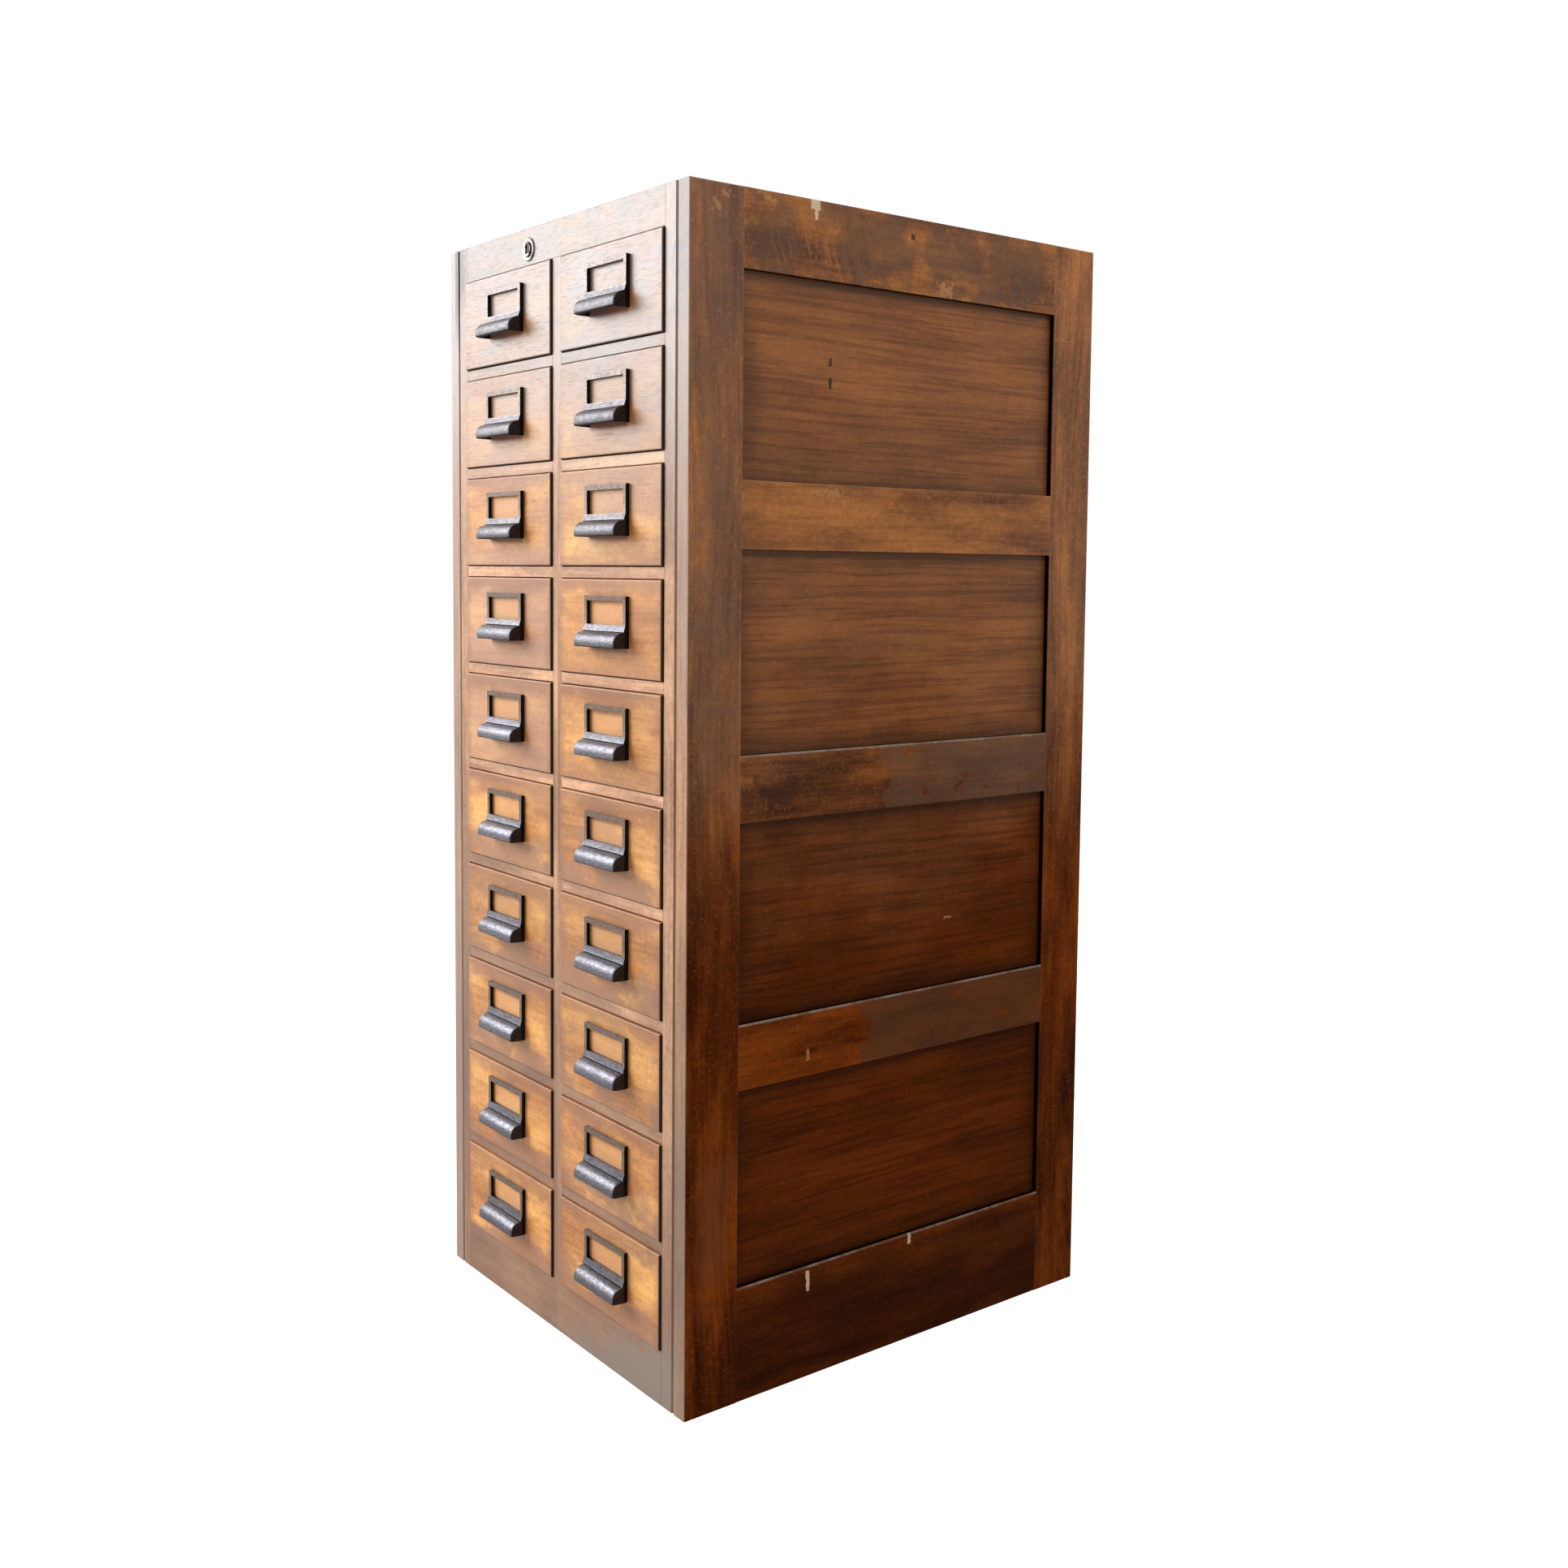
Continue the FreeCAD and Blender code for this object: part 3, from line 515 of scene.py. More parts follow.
def rubbed(tree, width, amount):
    """The mask of the worn edges."""
    return use(tree, WEAR, Width=width, Amount=amount)["Mask"]


def set_bump(tree, shader, height, strength, distance):
    """Small relief from a height."""
    bump = add(tree, "Bump")
    fill(tree, bump, Strength=strength, Distance=distance, Height=height)
    feed(tree, shader.inputs["Normal"], bump.outputs[0])


def dress(node, material):
    """Give a node of the construction model its material."""
    slots = NODES[node].data.materials
    slots.clear()
    slots.append(material)


# %% [markdown]
# The window light shines in the varnish of the front, and this sheen is painted into its colour:
# hardly at the middle of the chest, and most at the top. One mask that rises with height, with
# ragged borders, stands for it. It lays a greyish painted sheen over the wood, golden where it
# is thin, and it sets how glossy the coat is. The painted sheen leans, because it is a little
# stronger on the right column, and the coat leans more, because near the window on the left it is duller.

# %% Painted sheen on the front
SHEEN_FOOT = 0.85
SHEEN_HEAD = 1.16
SHEEN_MOST = 0.72
SHEEN_LEAN = 0.15
SHEEN_RAGGED = 0.36
SHEEN_UNEVEN = 1.1
SHEEN_GREY = (0.27, 0.28, 0.31, 1)
THIN_SHEEN = (0.54, 0.42, 0.33, 1)
COAT_LEAN = 2.8
COAT_LEAST = 0.10


def painted_sheen(tree, place, z):
    """How strongly the sheen of the window light is painted on the front: none at the middle, most at the
    top.
    """
    level = line(tree, cloud(tree, place, (7, 7, 9), 5.0, 0.6), SHEEN_RAGGED, z)
    level = line(tree, parts_of(tree, place)[0], SHEEN_LEAN, level)
    thin = cloud(tree, place, (26, 26, 34), 5.0, 0.7)
    strength = calc(tree, "MULTIPLY_ADD", thin, SHEEN_UNEVEN, SHEEN_MOST, clamp=True)
    return times(tree, step(tree, level, SHEEN_FOOT, SHEEN_HEAD), strength)


def with_painted_sheen(tree, sheen_mask, color):
    """A colour under the painted sheen, which is golden where it is thin."""
    return paint(tree, color, blend(tree, sheen_mask, THIN_SHEEN, SHEEN_GREY), sheen_mask)


def front_coat(tree, x, sheen_mask, strength):
    """How glossy the varnish of the front is. Nearer the window, on the left, it is duller."""
    return times(tree, line(tree, sheen_mask, strength, COAT_LEAST), line(tree, x, COAT_LEAN, 1.0))


# %% [markdown]
# Some marks sit at one spot: a chip, a scratch, a knot, a place where the varnish went dull.
# Each is a box on the surface with ragged borders. The group gives 1 inside the box and 0
# outside, and noise of the given size moves the border in and out.

# %% Marks


def make_mark():
    """A mask that is 1 within a box, with a ragged border."""
    tree, given, result = group(
        "mark",
        [
            ("Middle", "Vector", None),
            ("Half", "Vector", None),
            ("Ragged", "Float", 0.002),
            ("Grain", "Float", 60.0),
            ("Soft", "Float", 0.0004),
        ],
        [("Mask", "Float")],
    )
    place = object_place(tree)
    offsets = parts_of(tree, moved(tree, place, scaled(tree, given["Middle"], (-1, -1, -1))))
    reaches = parts_of(tree, given["Half"])
    rooms = [minus(tree, reach, unsigned(tree, offset)) for offset, reach in zip(offsets, reaches)]
    coarse = add(tree, "TexNoise")
    fill(tree, coarse, Vector=place, Scale=given["Grain"], Detail=4.0)
    drift = times(tree, minus(tree, coarse.outputs["Fac"], 0.5), given["Ragged"])
    inside = line(tree, drift, 3.0, least(tree, *rooms))
    soft = given["Soft"]
    fill(tree, result, Mask=step(tree, inside, times(tree, soft, -1.0), soft))
    return tree


MARK = make_mark()
print("mark group with", len(MARK.nodes), "nodes")


def mark(tree, middle, half, ragged=0.002, grain=60.0, soft=0.0004):
    """Place a mark."""
    return use(tree, MARK, Middle=middle, Half=half, Ragged=ragged, Grain=grain, Soft=soft)["Mask"]


# %% [markdown]
# The sides were stained dark brown, and the lower half is deep red-brown. Near the top they are
# painted a lighter, warmer brown, which stands in for the sheen and the stronger light there,
# and the thin varnish has a grey bloom. One mask that rises with height does both: it shifts the
# colour, and it adds coat. So each colour of the oak comes twice here, for the foot and the lighter head.

# %% Colours of the sides
SIDE_LIGHT = (0.150, 0.028, 0.0022, 1)
SIDE_DARK = (0.050, 0.009, 0.0010, 1)
SIDE_GLOW = (0.230, 0.048, 0.0040, 1)
UPPER_LIGHT = (0.340, 0.120, 0.036, 1)
UPPER_DARK = (0.150, 0.048, 0.015, 1)
UPPER_GLOW = (0.430, 0.158, 0.040, 1)
FRAME_LIGHT = (0.66, 0.360, 0.205, 1)
FRAME_DARK = (0.38, 0.195, 0.110, 1)
FRAME_GLOW = (0.80, 0.460, 0.255, 1)
UPPER_SHADES = (UPPER_LIGHT, UPPER_DARK, UPPER_GLOW)
FRAME_SHADES = (FRAME_LIGHT, FRAME_DARK, FRAME_GLOW)
SIDE_WORN = (0.42, 0.24, 0.13, 1)
FRAME_WORN = (0.70, 0.54, 0.44, 1)
GRIME_AND_SHADE = (0.004, 0.002, 0.001, 1)
HAZE_BROWN = (0.030, 0.011, 0.004, 1)
FOOT_BROWN = (0.030, 0.006, 0.001, 1)
FLOOR_DUST = (0.32, 0.27, 0.23, 1)
LIGHTER_FOOT = 0.42
LIGHTER_HEAD = 0.86
LIGHTER_RAGGED = 0.5


def lighter_top(tree, place, z):
    """0 on the dark foot of a side and 1 on its head, which is painted lighter, with a ragged border."""
    ragged = line(tree, noise(tree, place, (3, 5, 5), 4.0, 0.6), LIGHTER_RAGGED, z)
    return step(tree, minus(tree, ragged, LIGHTER_RAGGED / 2), LIGHTER_FOOT, LIGHTER_HEAD)


def side_shades(tree, upper_share, even):
    """The oak's three colours between foot and head. even brings dark and light together."""
    light = blend(tree, upper_share, SIDE_LIGHT, UPPER_LIGHT)
    dark = blend(tree, upper_share, mixed(SIDE_DARK, SIDE_LIGHT, even), mixed(UPPER_DARK, UPPER_LIGHT, even))
    return light, dark, blend(tree, upper_share, SIDE_GLOW, UPPER_GLOW)


# %% [markdown]
# The right side has seen years of knocks: bare chips at the edge of the top rail and near the
# floor, small dark holes in the top rail and panel, dull patches with ragged borders on the
# rails, and pale spots near the front. Marks of one kind share a colour, a strength and the
# raggedness of their borders, and each mark only adds its place and size.

# %% Marks on the right side
MARK_DEPTH = 0.012
DULL_PATCH = (0.145, 0.080, 0.050, 1)
TOP_BROWN = (0.105, 0.055, 0.033, 1)
BROWN_PATCH = (0.115, 0.052, 0.022, 1)
STILE_HAZE = (0.145, 0.090, 0.066, 1)
WARM_PATCH = (0.160, 0.058, 0.022, 1)
GOLDEN_SPOT = (0.620, 0.300, 0.120, 1)
BARE_OAK = (0.80, 0.58, 0.38, 1)
# Middle and half size of each mark: y, z, half y, half z
SECOND_RAIL_PATCH = (0.145, 0.633, 0.157, 0.060)
SECOND_RAIL_HAZE = (-0.160, 0.620, 0.016, 0.009)
THIRD_RAIL_PATCH = (0.105, 0.359, 0.147, 0.060)
TOP_RAIL_PATCHES = ((0.05, 1.185, 0.15, 0.030), (-0.17, 1.170, 0.020, 0.040))
STILE_HAZE_AREA = (-0.243, 0.93, 0.030, 0.300)
STILE_FOOT_PATCH = (-0.240, 0.19, 0.018, 0.060)
CHIPS = (
    (-0.120, 1.215, 0.0060, 0.0050),
    (-0.1185, 1.206, 0.0022, 0.0060),
    (-0.116, 0.104, 0.0024, 0.0110),
    (0.0275, 0.114, 0.0024, 0.0060),
)
FLECKS = ((0.084, 0.466, 0.0060, 0.0012), (-0.119, 0.347, 0.0018, 0.0060))
DARK_SPOTS = ((0.012, 1.2005, 0.003, 0.003), (-0.0937, 1.062, 0.0018, 0.004), (-0.0934, 1.040, 0.002, 0.005))
PALE_SPOTS = (
    (-0.242, 1.197, 0.004, 0.004),
    (-0.230, 1.210, 0.003, 0.002),
    (-0.114, 0.929, 0.010, 0.002),
    (-0.091, 0.928, 0.008, 0.003),
    (-0.178, 1.213, 0.006, 0.002),
    (0.060, 1.150, 0.009, 0.006),
)
# Each kind of mark: its marks, colour and strength, and the border's drift, grain and softness
SPOTS = (
    (CHIPS, BARE_OAK, 0.95, 0.0015, 250, 0.0004),
    (DARK_SPOTS, GRIME_AND_SHADE, 0.85, 0.002, 300, 0.0004),
    (FLECKS, GOLDEN_SPOT, 0.6, 0.002, 250, 0.0008),
)
PALE = ((PALE_SPOTS, GOLDEN_SPOT, 0.5, 0.010, 220, 0.002),)
RAIL_MARKS = (
    ((SECOND_RAIL_PATCH,), DULL_PATCH, 0.55, 0.030, 45, 0.0015),
    ((SECOND_RAIL_HAZE,), HAZE_BROWN, 0.5, 0.030, 45, 0.004),
    ((THIRD_RAIL_PATCH,), BROWN_PATCH, 0.6, 0.030, 45, 0.0015),
    (TOP_RAIL_PATCHES, TOP_BROWN, 0.6, 0.06, 24, 0.015),
    *SPOTS,
    *PALE,
)
STILE_MARKS = (
    ((STILE_HAZE_AREA,), STILE_HAZE, 0.5, 0.05, 30, 0.060),
    ((STILE_FOOT_PATCH,), WARM_PATCH, 0.4, 0.02, 30, 0.008),
    *PALE,
)


def marked(tree, color, kinds):
    """A colour with the marks of some kinds over it."""
    for spots, shade, strength, drift, grain, soft in kinds:
        deep = MARK_DEPTH + soft
        masks = [mark(tree, (CASE_X, y, z), (deep, *half), drift, grain, soft) for y, z, *half in spots]
        color = paint(tree, color, shade, most(tree, *masks), strength)
    return color


# %% [markdown]
# Some features belong to one kind of board. The panels are darker towards their borders. The
# top rail is cut along the tree's rays, which show as slanted stripes. The bottom rail is
# darkest near the floor, and the upper edges of the lower rails show a thin grey line of wear
# and painted highlight. The repeats of the panels give the distance from each edge, so no border is modelled.

# %% What only panels or rails have
PANEL_PITCH = 0.2725
PANEL_H = 0.2045
PANEL_FOOT = 0.120
STILE_W = 0.064
MIDDLE_Y = (FRONT_Y + BACK_Y) / 2
PANEL_HALF_D = (BACK_Y - FRONT_Y) / 2 - STILE_W
RAIL_SEED_FOOT = 0.225
BORDER_CLEAN = 0.034
BORDER_DIRTY = -0.004
BORDER_RAGGED = 0.05
RAYS_PLACE = (CASE_X, -0.100, 1.185)
RAYS_HALF = (MARK_DEPTH, 0.065, 0.030)
RAY_SLANT = 0.35
FOOT_CLEAN_Z = 0.175
FOOT_DARK_Z = 0.125
FOOT_RAGGED = 0.08
ARRIS_WEAR_AND_HIGHLIGHT = (0.340, 0.270, 0.215, 1)
ARRIS_W = 0.0028
ARRIS_HEAD = 0.95
ARRIS_FULL = 0.70


def borders(tree, place, y, rise):
    """1 at the borders of a panel and 0 from about 30 mm inwards."""
    from_ends = minus(tree, PANEL_HALF_D, unsigned(tree, minus(tree, y, MIDDLE_Y)))
    inside = least(tree, rise, minus(tree, PANEL_H, rise), from_ends)
    drift = cloud(tree, place, (14, 14, 14), 4.0, 0.6)
    return step(tree, line(tree, drift, BORDER_RAGGED, inside), BORDER_CLEAN, BORDER_DIRTY)


def rays(tree, y, z):
    """Slanted stripes where the top rail is cut along the tree's rays."""
    stripes = noise(tree, vector(tree, 0.0, line(tree, z, RAY_SLANT, y), z), (1, 190, 9), 2.0, 0.6)
    return times(tree, step(tree, stripes, 0.44, 0.62), mark(tree, RAYS_PLACE, RAYS_HALF, 0.03, 20))


def foot_shadow(tree, place, z):
    """1 at the floor and 0 above the foot of the bottom rail."""
    level = line(tree, noise(tree, place, (9, 9, 9), 4.0), FOOT_RAGGED, z)
    return step(tree, level, FOOT_CLEAN_Z, FOOT_DARK_Z)


def lit_worn_arris(tree, place, z):
    """The grey line along the upper edge of each lower rail: wear and a painted highlight."""
    under_panel = use(tree, COUNT, Foot=PANEL_FOOT, Pitch=PANEL_PITCH)["Rise"]
    edge = step(tree, under_panel, PANEL_PITCH - ARRIS_W, PANEL_PITCH - ARRIS_W / 2)
    broken = step(tree, noise(tree, place, (30, 30, 5), 3.0, 0.7), 0.40, 0.60)
    return times(tree, edge, line(tree, broken, 0.65, 0.3), step(tree, z, ARRIS_HEAD, ARRIS_FULL))


# %% [markdown]
# The narrow edge of a side that faces forward was worn pale with the rest of the front, and
# takes the same painted sheen. At the top left the edge beside the joint is darker. The walls
# of the recesses are painted nearly black as shade: a face that lies behind the outer surface
# and doesn't look outwards, such as the wall around a panel. The position and the normal of a
# point are enough to tell these faces apart.

# %% Front edges, dark joint and shaded recesses
EDGE_SHEEN = (0.56, 0.52, 0.51, 1)
JOINT_DARK = (0.060, 0.050, 0.050, 1)
EDGE_SHEEN_FOOT = 0.55
EDGE_SHEEN_HEAD = 0.85
DUST_HEAD = 0.7
DUST_FULL = 0.2
DARK_JOINT_X = -0.2370
DARK_JOINT_EDGE = 0.002
DARK_JOINT_FOOT = 1.09
DARK_JOINT_HEAD = 1.17
RECESS = 0.0012
SLACK = 0.0005
EDGE_REACH = 0.004


def pale_edge(tree, place, axis, rub):
    """The worn oak of the front edges, with a grey painted sheen higher up and on the left, and dust near the
    floor.
    """
    x, y, z = parts_of(tree, place)
    wood = oak(tree, along(tree, place, axis), FRAME_SHADES, Seed=0.3, Warm=0.3, Lines=0.25, Fleck=0.15,
               Mottle=0.5)
    # A grey painted sheen higher up and on the left.
    sheened = most(tree, step(tree, z, EDGE_SHEEN_FOOT, EDGE_SHEEN_HEAD), under(tree, x, 0.0))
    color = paint(tree, wood["Color"], EDGE_SHEEN, sheened, 0.3)
    color = paint(tree, color, FLOOR_DUST, step(tree, z, DUST_HEAD, DUST_FULL), 0.5)
    return paint(tree, color, FRAME_WORN, rub)


def dark_joint(tree, x, z, ahead):
    """The darker left front edge near the top."""
    beside_joint = step(tree, x, DARK_JOINT_X - DARK_JOINT_EDGE, DARK_JOINT_X)
    high = step(tree, z, DARK_JOINT_FOOT, DARK_JOINT_HEAD)
    return times(tree, beside_joint, high, under(tree, x, 0.0), 0.95, ahead)


def recess_shade(tree, x, nx, outside):
    """1 on the walls of the recesses, behind the outer surface of a side, which are painted as shade."""
    inward = minus(tree, CASE_X, unsigned(tree, x))
    recessed = times(tree, over(tree, inward, RECESS), under(tree, unsigned(tree, nx), 0.5))
    return times(tree, recessed, under(tree, inward, CASE_X - PANEL_FACE_X + SLACK), rest(tree, outside))


# %% [markdown]
# One function makes every dark board of the case: the stiles, the rails and the panels of the
# sides, and the back. They differ in their grain, in their marks and in the bloom of their
# varnish. The back's frame is one node with its stiles and rails, so its grain turns where
# the rails begin.

# %% Side oak
BACK_OPENING_X = 0.173


def side_grain(tree, name, place, axis):
    """The place along the grain of a side or back board."""
    lie = along(tree, place, axis)
    if name == "back_frame_oak":
        on_rail = under(tree, unsigned(tree, parts_of(tree, place)[0]), BACK_OPENING_X)
        lie = blend(tree, on_rail, lie, along(tree, place, "X"))
    return lie


def side_oak(name, axis, fleck, lines, warm, sway=0.03, pitch=0.0, foot=0.0, marks=(), even=0.0, bloom=0.40):
    """Dark stained oak with its grain along one axis, and the paler front on what faces forward."""
    material, tree, shader = principled(name, 0.03, 0.30)
    place = object_place(tree)
    x, y, z = parts_of(tree, place)
    nx, ny, nz = facing(tree)
    # The head of a side is painted lighter, standing in for sheen and stronger light.
    upper_share = lighter_top(tree, place, z)
    count = use(tree, COUNT, Foot=foot, Pitch=pitch) if pitch else None
    wood = oak(tree, side_grain(tree, name, place, axis), side_shades(tree, upper_share, even), Warm=warm,
               Seed=count["Seed"] if pitch else 0.0, Fleck=fleck, Lines=lines, Sway=sway, Mottle=1.1 - even,
               Gloss=0.5)
    color = wood["Color"]
    if name == "panel_oak":
        color = paint(tree, color, HAZE_BROWN, borders(tree, place, y, count["Rise"]), 0.5)
    if name == "side_oak_across":
        color = paint(tree, color, UPPER_GLOW, rays(tree, y, z), 0.5)
        color = paint(tree, color, FOOT_BROWN, foot_shadow(tree, place, z), 0.6)
    rub = times(tree, rubbed(tree, 0.0022, 0.7), line(tree, upper_share, 0.7, 0.15))
    color = marked(tree, paint(tree, color, SIDE_WORN, rub), marks)
    # A thin grey line along the rails' upper edges: wear and a painted highlight.
    if name == "side_oak_across":
        color = paint(tree, color, ARRIS_WEAR_AND_HIGHLIGHT, lit_worn_arris(tree, place, z))

    near_front = under(tree, y, FRONT_Y + EDGE_REACH)
    near_back = over(tree, y, BACK_Y - EDGE_REACH)
    outside = most(tree, near_front, near_back, over(tree, z, CASE_H - EDGE_REACH))
    ahead = times(tree, under(tree, ny, -0.5), near_front)
    # The recess walls are painted nearly black as shade, and lose their coat.
    shaded_recess = recess_shade(tree, x, nx, outside)
    color = paint(tree, color, pale_edge(tree, place, axis, rub), ahead)
    # The painted sheen of the window light reaches the front edge of a side.
    sheen_mask = times(tree, painted_sheen(tree, place, z), ahead)
    darkened_joint = dark_joint(tree, x, z, ahead)
    color = paint(tree, with_painted_sheen(tree, sheen_mask, color), JOINT_DARK, darkened_joint)
    front_gloss = times(tree, ahead, front_coat(tree, x, sheen_mask, 0.20), rest(tree, darkened_joint))
    gloss = most(tree, line(tree, upper_share, bloom, 0.01), front_gloss)
    fill(tree, shader, Base_Color=paint(tree, color, GRIME_AND_SHADE, shaded_recess), Roughness=wood["Roughness"],
         Coat_Weight=times(tree, gloss, rest(tree, shaded_recess)))
    set_bump(tree, shader, wood["Height"], 0.35, GRAIN_DEPTH)
    return material


# %% [markdown]
# Now the boards get their finishes. The grain of a stile stands upright and that of a rail or
# a panel lies along the side. The top board shares the rails' finish.

# %% Dress the sides, back and top
side_upright = side_oak("side_oak_upright", "Z", 0.40, 0.35, 1.0, 0.05, marks=STILE_MARKS, bloom=0.52)
side_across = side_oak("side_oak_across", "Y", 0.40, 0.25, 0.9, 0.04, PANEL_PITCH, RAIL_SEED_FOOT, RAIL_MARKS)
panel_oak = side_oak("panel_oak", "Y", 0.14, 0.50, 0.30, 0.012, PANEL_PITCH, PANEL_FOOT, SPOTS, 0.45, 0.42)
for side in SIDES:
    dress("side_stiles_" + side, side_upright)
    dress("side_rails_" + side, side_across)
    dress("side_panels_" + side, panel_oak)
dress("back_panels", side_oak("back_oak", "X", 0.2, 0.5, 0.4))
dress("back_frame", side_oak("back_frame_oak", "Z", 0.3, 0.35, 0.8))
dress("top_board", side_across)
print("side finish with", len(side_across.node_tree.nodes), "nodes")

# %% [markdown]
# The front frame is the same oak, but hands and dusters have worn its varnish to a greyish
# pink brown, with rubbed edges. Brown dirt lines the joints beside the sides, the foot is worn
# and dusty, the top left corner is darker, and the rails between the drawers are most
# golden a little above mid height. All of this depends on where a point lies, so masks on its
# position do it.

# %% Marks of the front frame
JOINT_BROWN = (0.24, 0.10, 0.05, 1)
FOOT_DUST = (0.29, 0.162, 0.110, 1)
SIDE_THICK = 0.021
JOINT_GRIME = 0.0030
GOLDEN_RAIL_Z = 0.74
GOLDEN_SPAN = 0.92
GOLDEN_SWING = 0.20
SCUFF_RISE = 0.30
SCUFF_TOP = 0.035
CORNER_X = -0.200
CORNER_DARK_X = -0.222
CORNER_FOOT = 1.13
CORNER_HEAD = 1.19


def frame_joints(tree, x, z):
    """Brown dirt along the outer joints, stronger in the lower half."""
    joint = minus(tree, unsigned(tree, x), CASE_X - SIDE_THICK - JOINT_GRIME)
    strength = line(tree, step(tree, z, 1.0, 0.5), 0.5, 0.12)
    return times(tree, step(tree, joint, 0.0, JOINT_GRIME / 2), strength)


def golden_swing(tree, z):
    """The tone of the rails between the drawers, brightest at one height."""
    turn = times(tree, minus(tree, z, GOLDEN_RAIL_Z), 2 * math.pi / GOLDEN_SPAN)
    return line(tree, calc(tree, "COSINE", turn), GOLDEN_SWING, 1.0)


def dusty_foot(tree, place, x, z, dusty, color):
    """Worn and dusty wood near the floor, and the scuffed corner at the bottom right."""
    level = line(tree, noise(tree, place, (9, 9, 9), 3.0), 0.4, line(tree, x, 0.6, z))
    color = paint(tree, color, FOOT_DUST, step(tree, level, dusty, dusty - 0.3), 0.65)
    corner = minus(tree, line(tree, x, SCUFF_RISE, -SCUFF_TOP), z)
    scuffed = line(tree, noise(tree, place, (40, 40, 40), 5.0, 0.7), 0.12, corner)
    return paint(tree, color, FLOOR_DUST, step(tree, scuffed, 0.0, 0.05), 0.75)


def dark_corner(tree, x, z):
    """The darker top left corner."""
    return times(tree, step(tree, x, CORNER_X, CORNER_DARK_X), step(tree, z, CORNER_FOOT, CORNER_HEAD), 0.6)


# %% [markdown]
# The frame's finish then lays these over each other, from the wood outwards. Its upper faces
# match the brown top board. Behind the surface, where nobody polishes, the boards are plain
# wood, whose colours the drawer boxes and the boards inside the case share.

# %% Front frame
BLACK = (0, 0, 0, 1)
FINISH_DEPTH = 0.0010
PLAIN_DEPTH = 0.0025
GAP_SHADE_FULL_DEPTH = 0.004
GAP_SHADE_END_DEPTH = 0.012
INNER_LIGHT = (0.58, 0.36, 0.205, 1)
INNER_DARK = (0.42, 0.24, 0.125, 1)
INNER_WORN = (0.56, 0.40, 0.25, 1)
INNER_SHADES = (INNER_LIGHT, INNER_DARK, INNER_LIGHT)


def plain_oak(tree, place, axis, seed, **values):
    """Wood that never had a finish."""
    return oak(tree, along(tree, place, axis), INNER_SHADES, Seed=seed, Lines=0.3, Fleck=0.05, **values)


def front_oak(name, axis, pitch, foot, tone=1.0, dusty=0.70):
    """Worn oak of the front frame."""
    material, tree, shader = principled(name, 0.35, 0.30)
    place = object_place(tree)
    x, y, z = parts_of(tree, place)
    lie = along(tree, place, axis)
    seed = use(tree, COUNT, Foot=foot, Pitch=pitch)["Seed"]
    shades = [mixed(shade, BLACK, 1 - tone) for shade in FRAME_SHADES]
    wood = oak(tree, lie, shades, Seed=seed, Warm=0.8, Lines=0.25, Fleck=0.12, Mottle=0.9, Gloss=0.42)
    color = paint(tree, wood["Color"], FRAME_WORN, rubbed(tree, 0.0016, 0.7))
    color = paint(tree, color, JOINT_BROWN, frame_joints(tree, x, z))
    color = toned(tree, color, line(tree, x, 0.5, 1.0))
    if name == "drawer_rail_oak":
        color = toned(tree, color, golden_swing(tree, z))
    # The painted sheen of the window light lies over the frame.
    sheen_mask = painted_sheen(tree, place, z)
    color = dusty_foot(tree, place, x, z, dusty, with_painted_sheen(tree, sheen_mask, color))
    darker_corner = dark_corner(tree, x, z)
    color = paint(tree, color, JOINT_DARK, darker_corner)

    under_top = under(tree, z, CASE_H - SLACK)
    brown_top = oak(tree, lie, UPPER_SHADES, Lines=0.25, Fleck=0.4, Mottle=1.0, Gloss=0.5)
    color = blend(tree, under_top, brown_top["Color"], color)
    behind = times(tree, step(tree, y, FRONT_Y + FINISH_DEPTH, FRONT_Y + PLAIN_DEPTH), under_top)
    plain = plain_oak(tree, place, axis, seed, Mottle=0.3, Gloss=0.7)["Color"]
    # Just inside the openings the plain boards are painted dark, as shade in the gaps round the drawers.
    gap_shade = step(tree, y, FRONT_Y + GAP_SHADE_END_DEPTH, FRONT_Y + GAP_SHADE_FULL_DEPTH)
    color = paint(tree, color, paint(tree, plain, GRIME_AND_SHADE, gap_shade, 0.9), behind)
    gloss = times(tree, front_coat(tree, x, sheen_mask, 0.16), rest(tree, darker_corner), rest(tree, behind))
    fill(tree, shader, Base_Color=color, Roughness=wood["Roughness"], Coat_Weight=gloss)
    set_bump(tree, shader, wood["Height"], 0.3, GRAIN_DEPTH)
    return material


dress("front_stiles", front_oak("front_oak_upright", "Z", 3.0, -0.5))
dress("front_rails", front_oak("front_oak_across", "X", 0.6, 0.0, 0.9))
dress("drawer_rails", front_oak("drawer_rail_oak", "X", ROW_PITCH, 0.004, 1.15, 0.80))
print("front frame dressed: 3 nodes")

# %% [markdown]
# A drawer is one node with a finished oak front, two sides, a back and a bottom of plain
# wood. The front is told from the rest by its depth, the sides by their distance from the
# middle of the column. Every drawer gets its own shift of grain and tone. Fingers and dirt
# have dulled the lower part of each front, most on the lower drawers that were used most.
# Some drawers of the left column have a pinker brown.

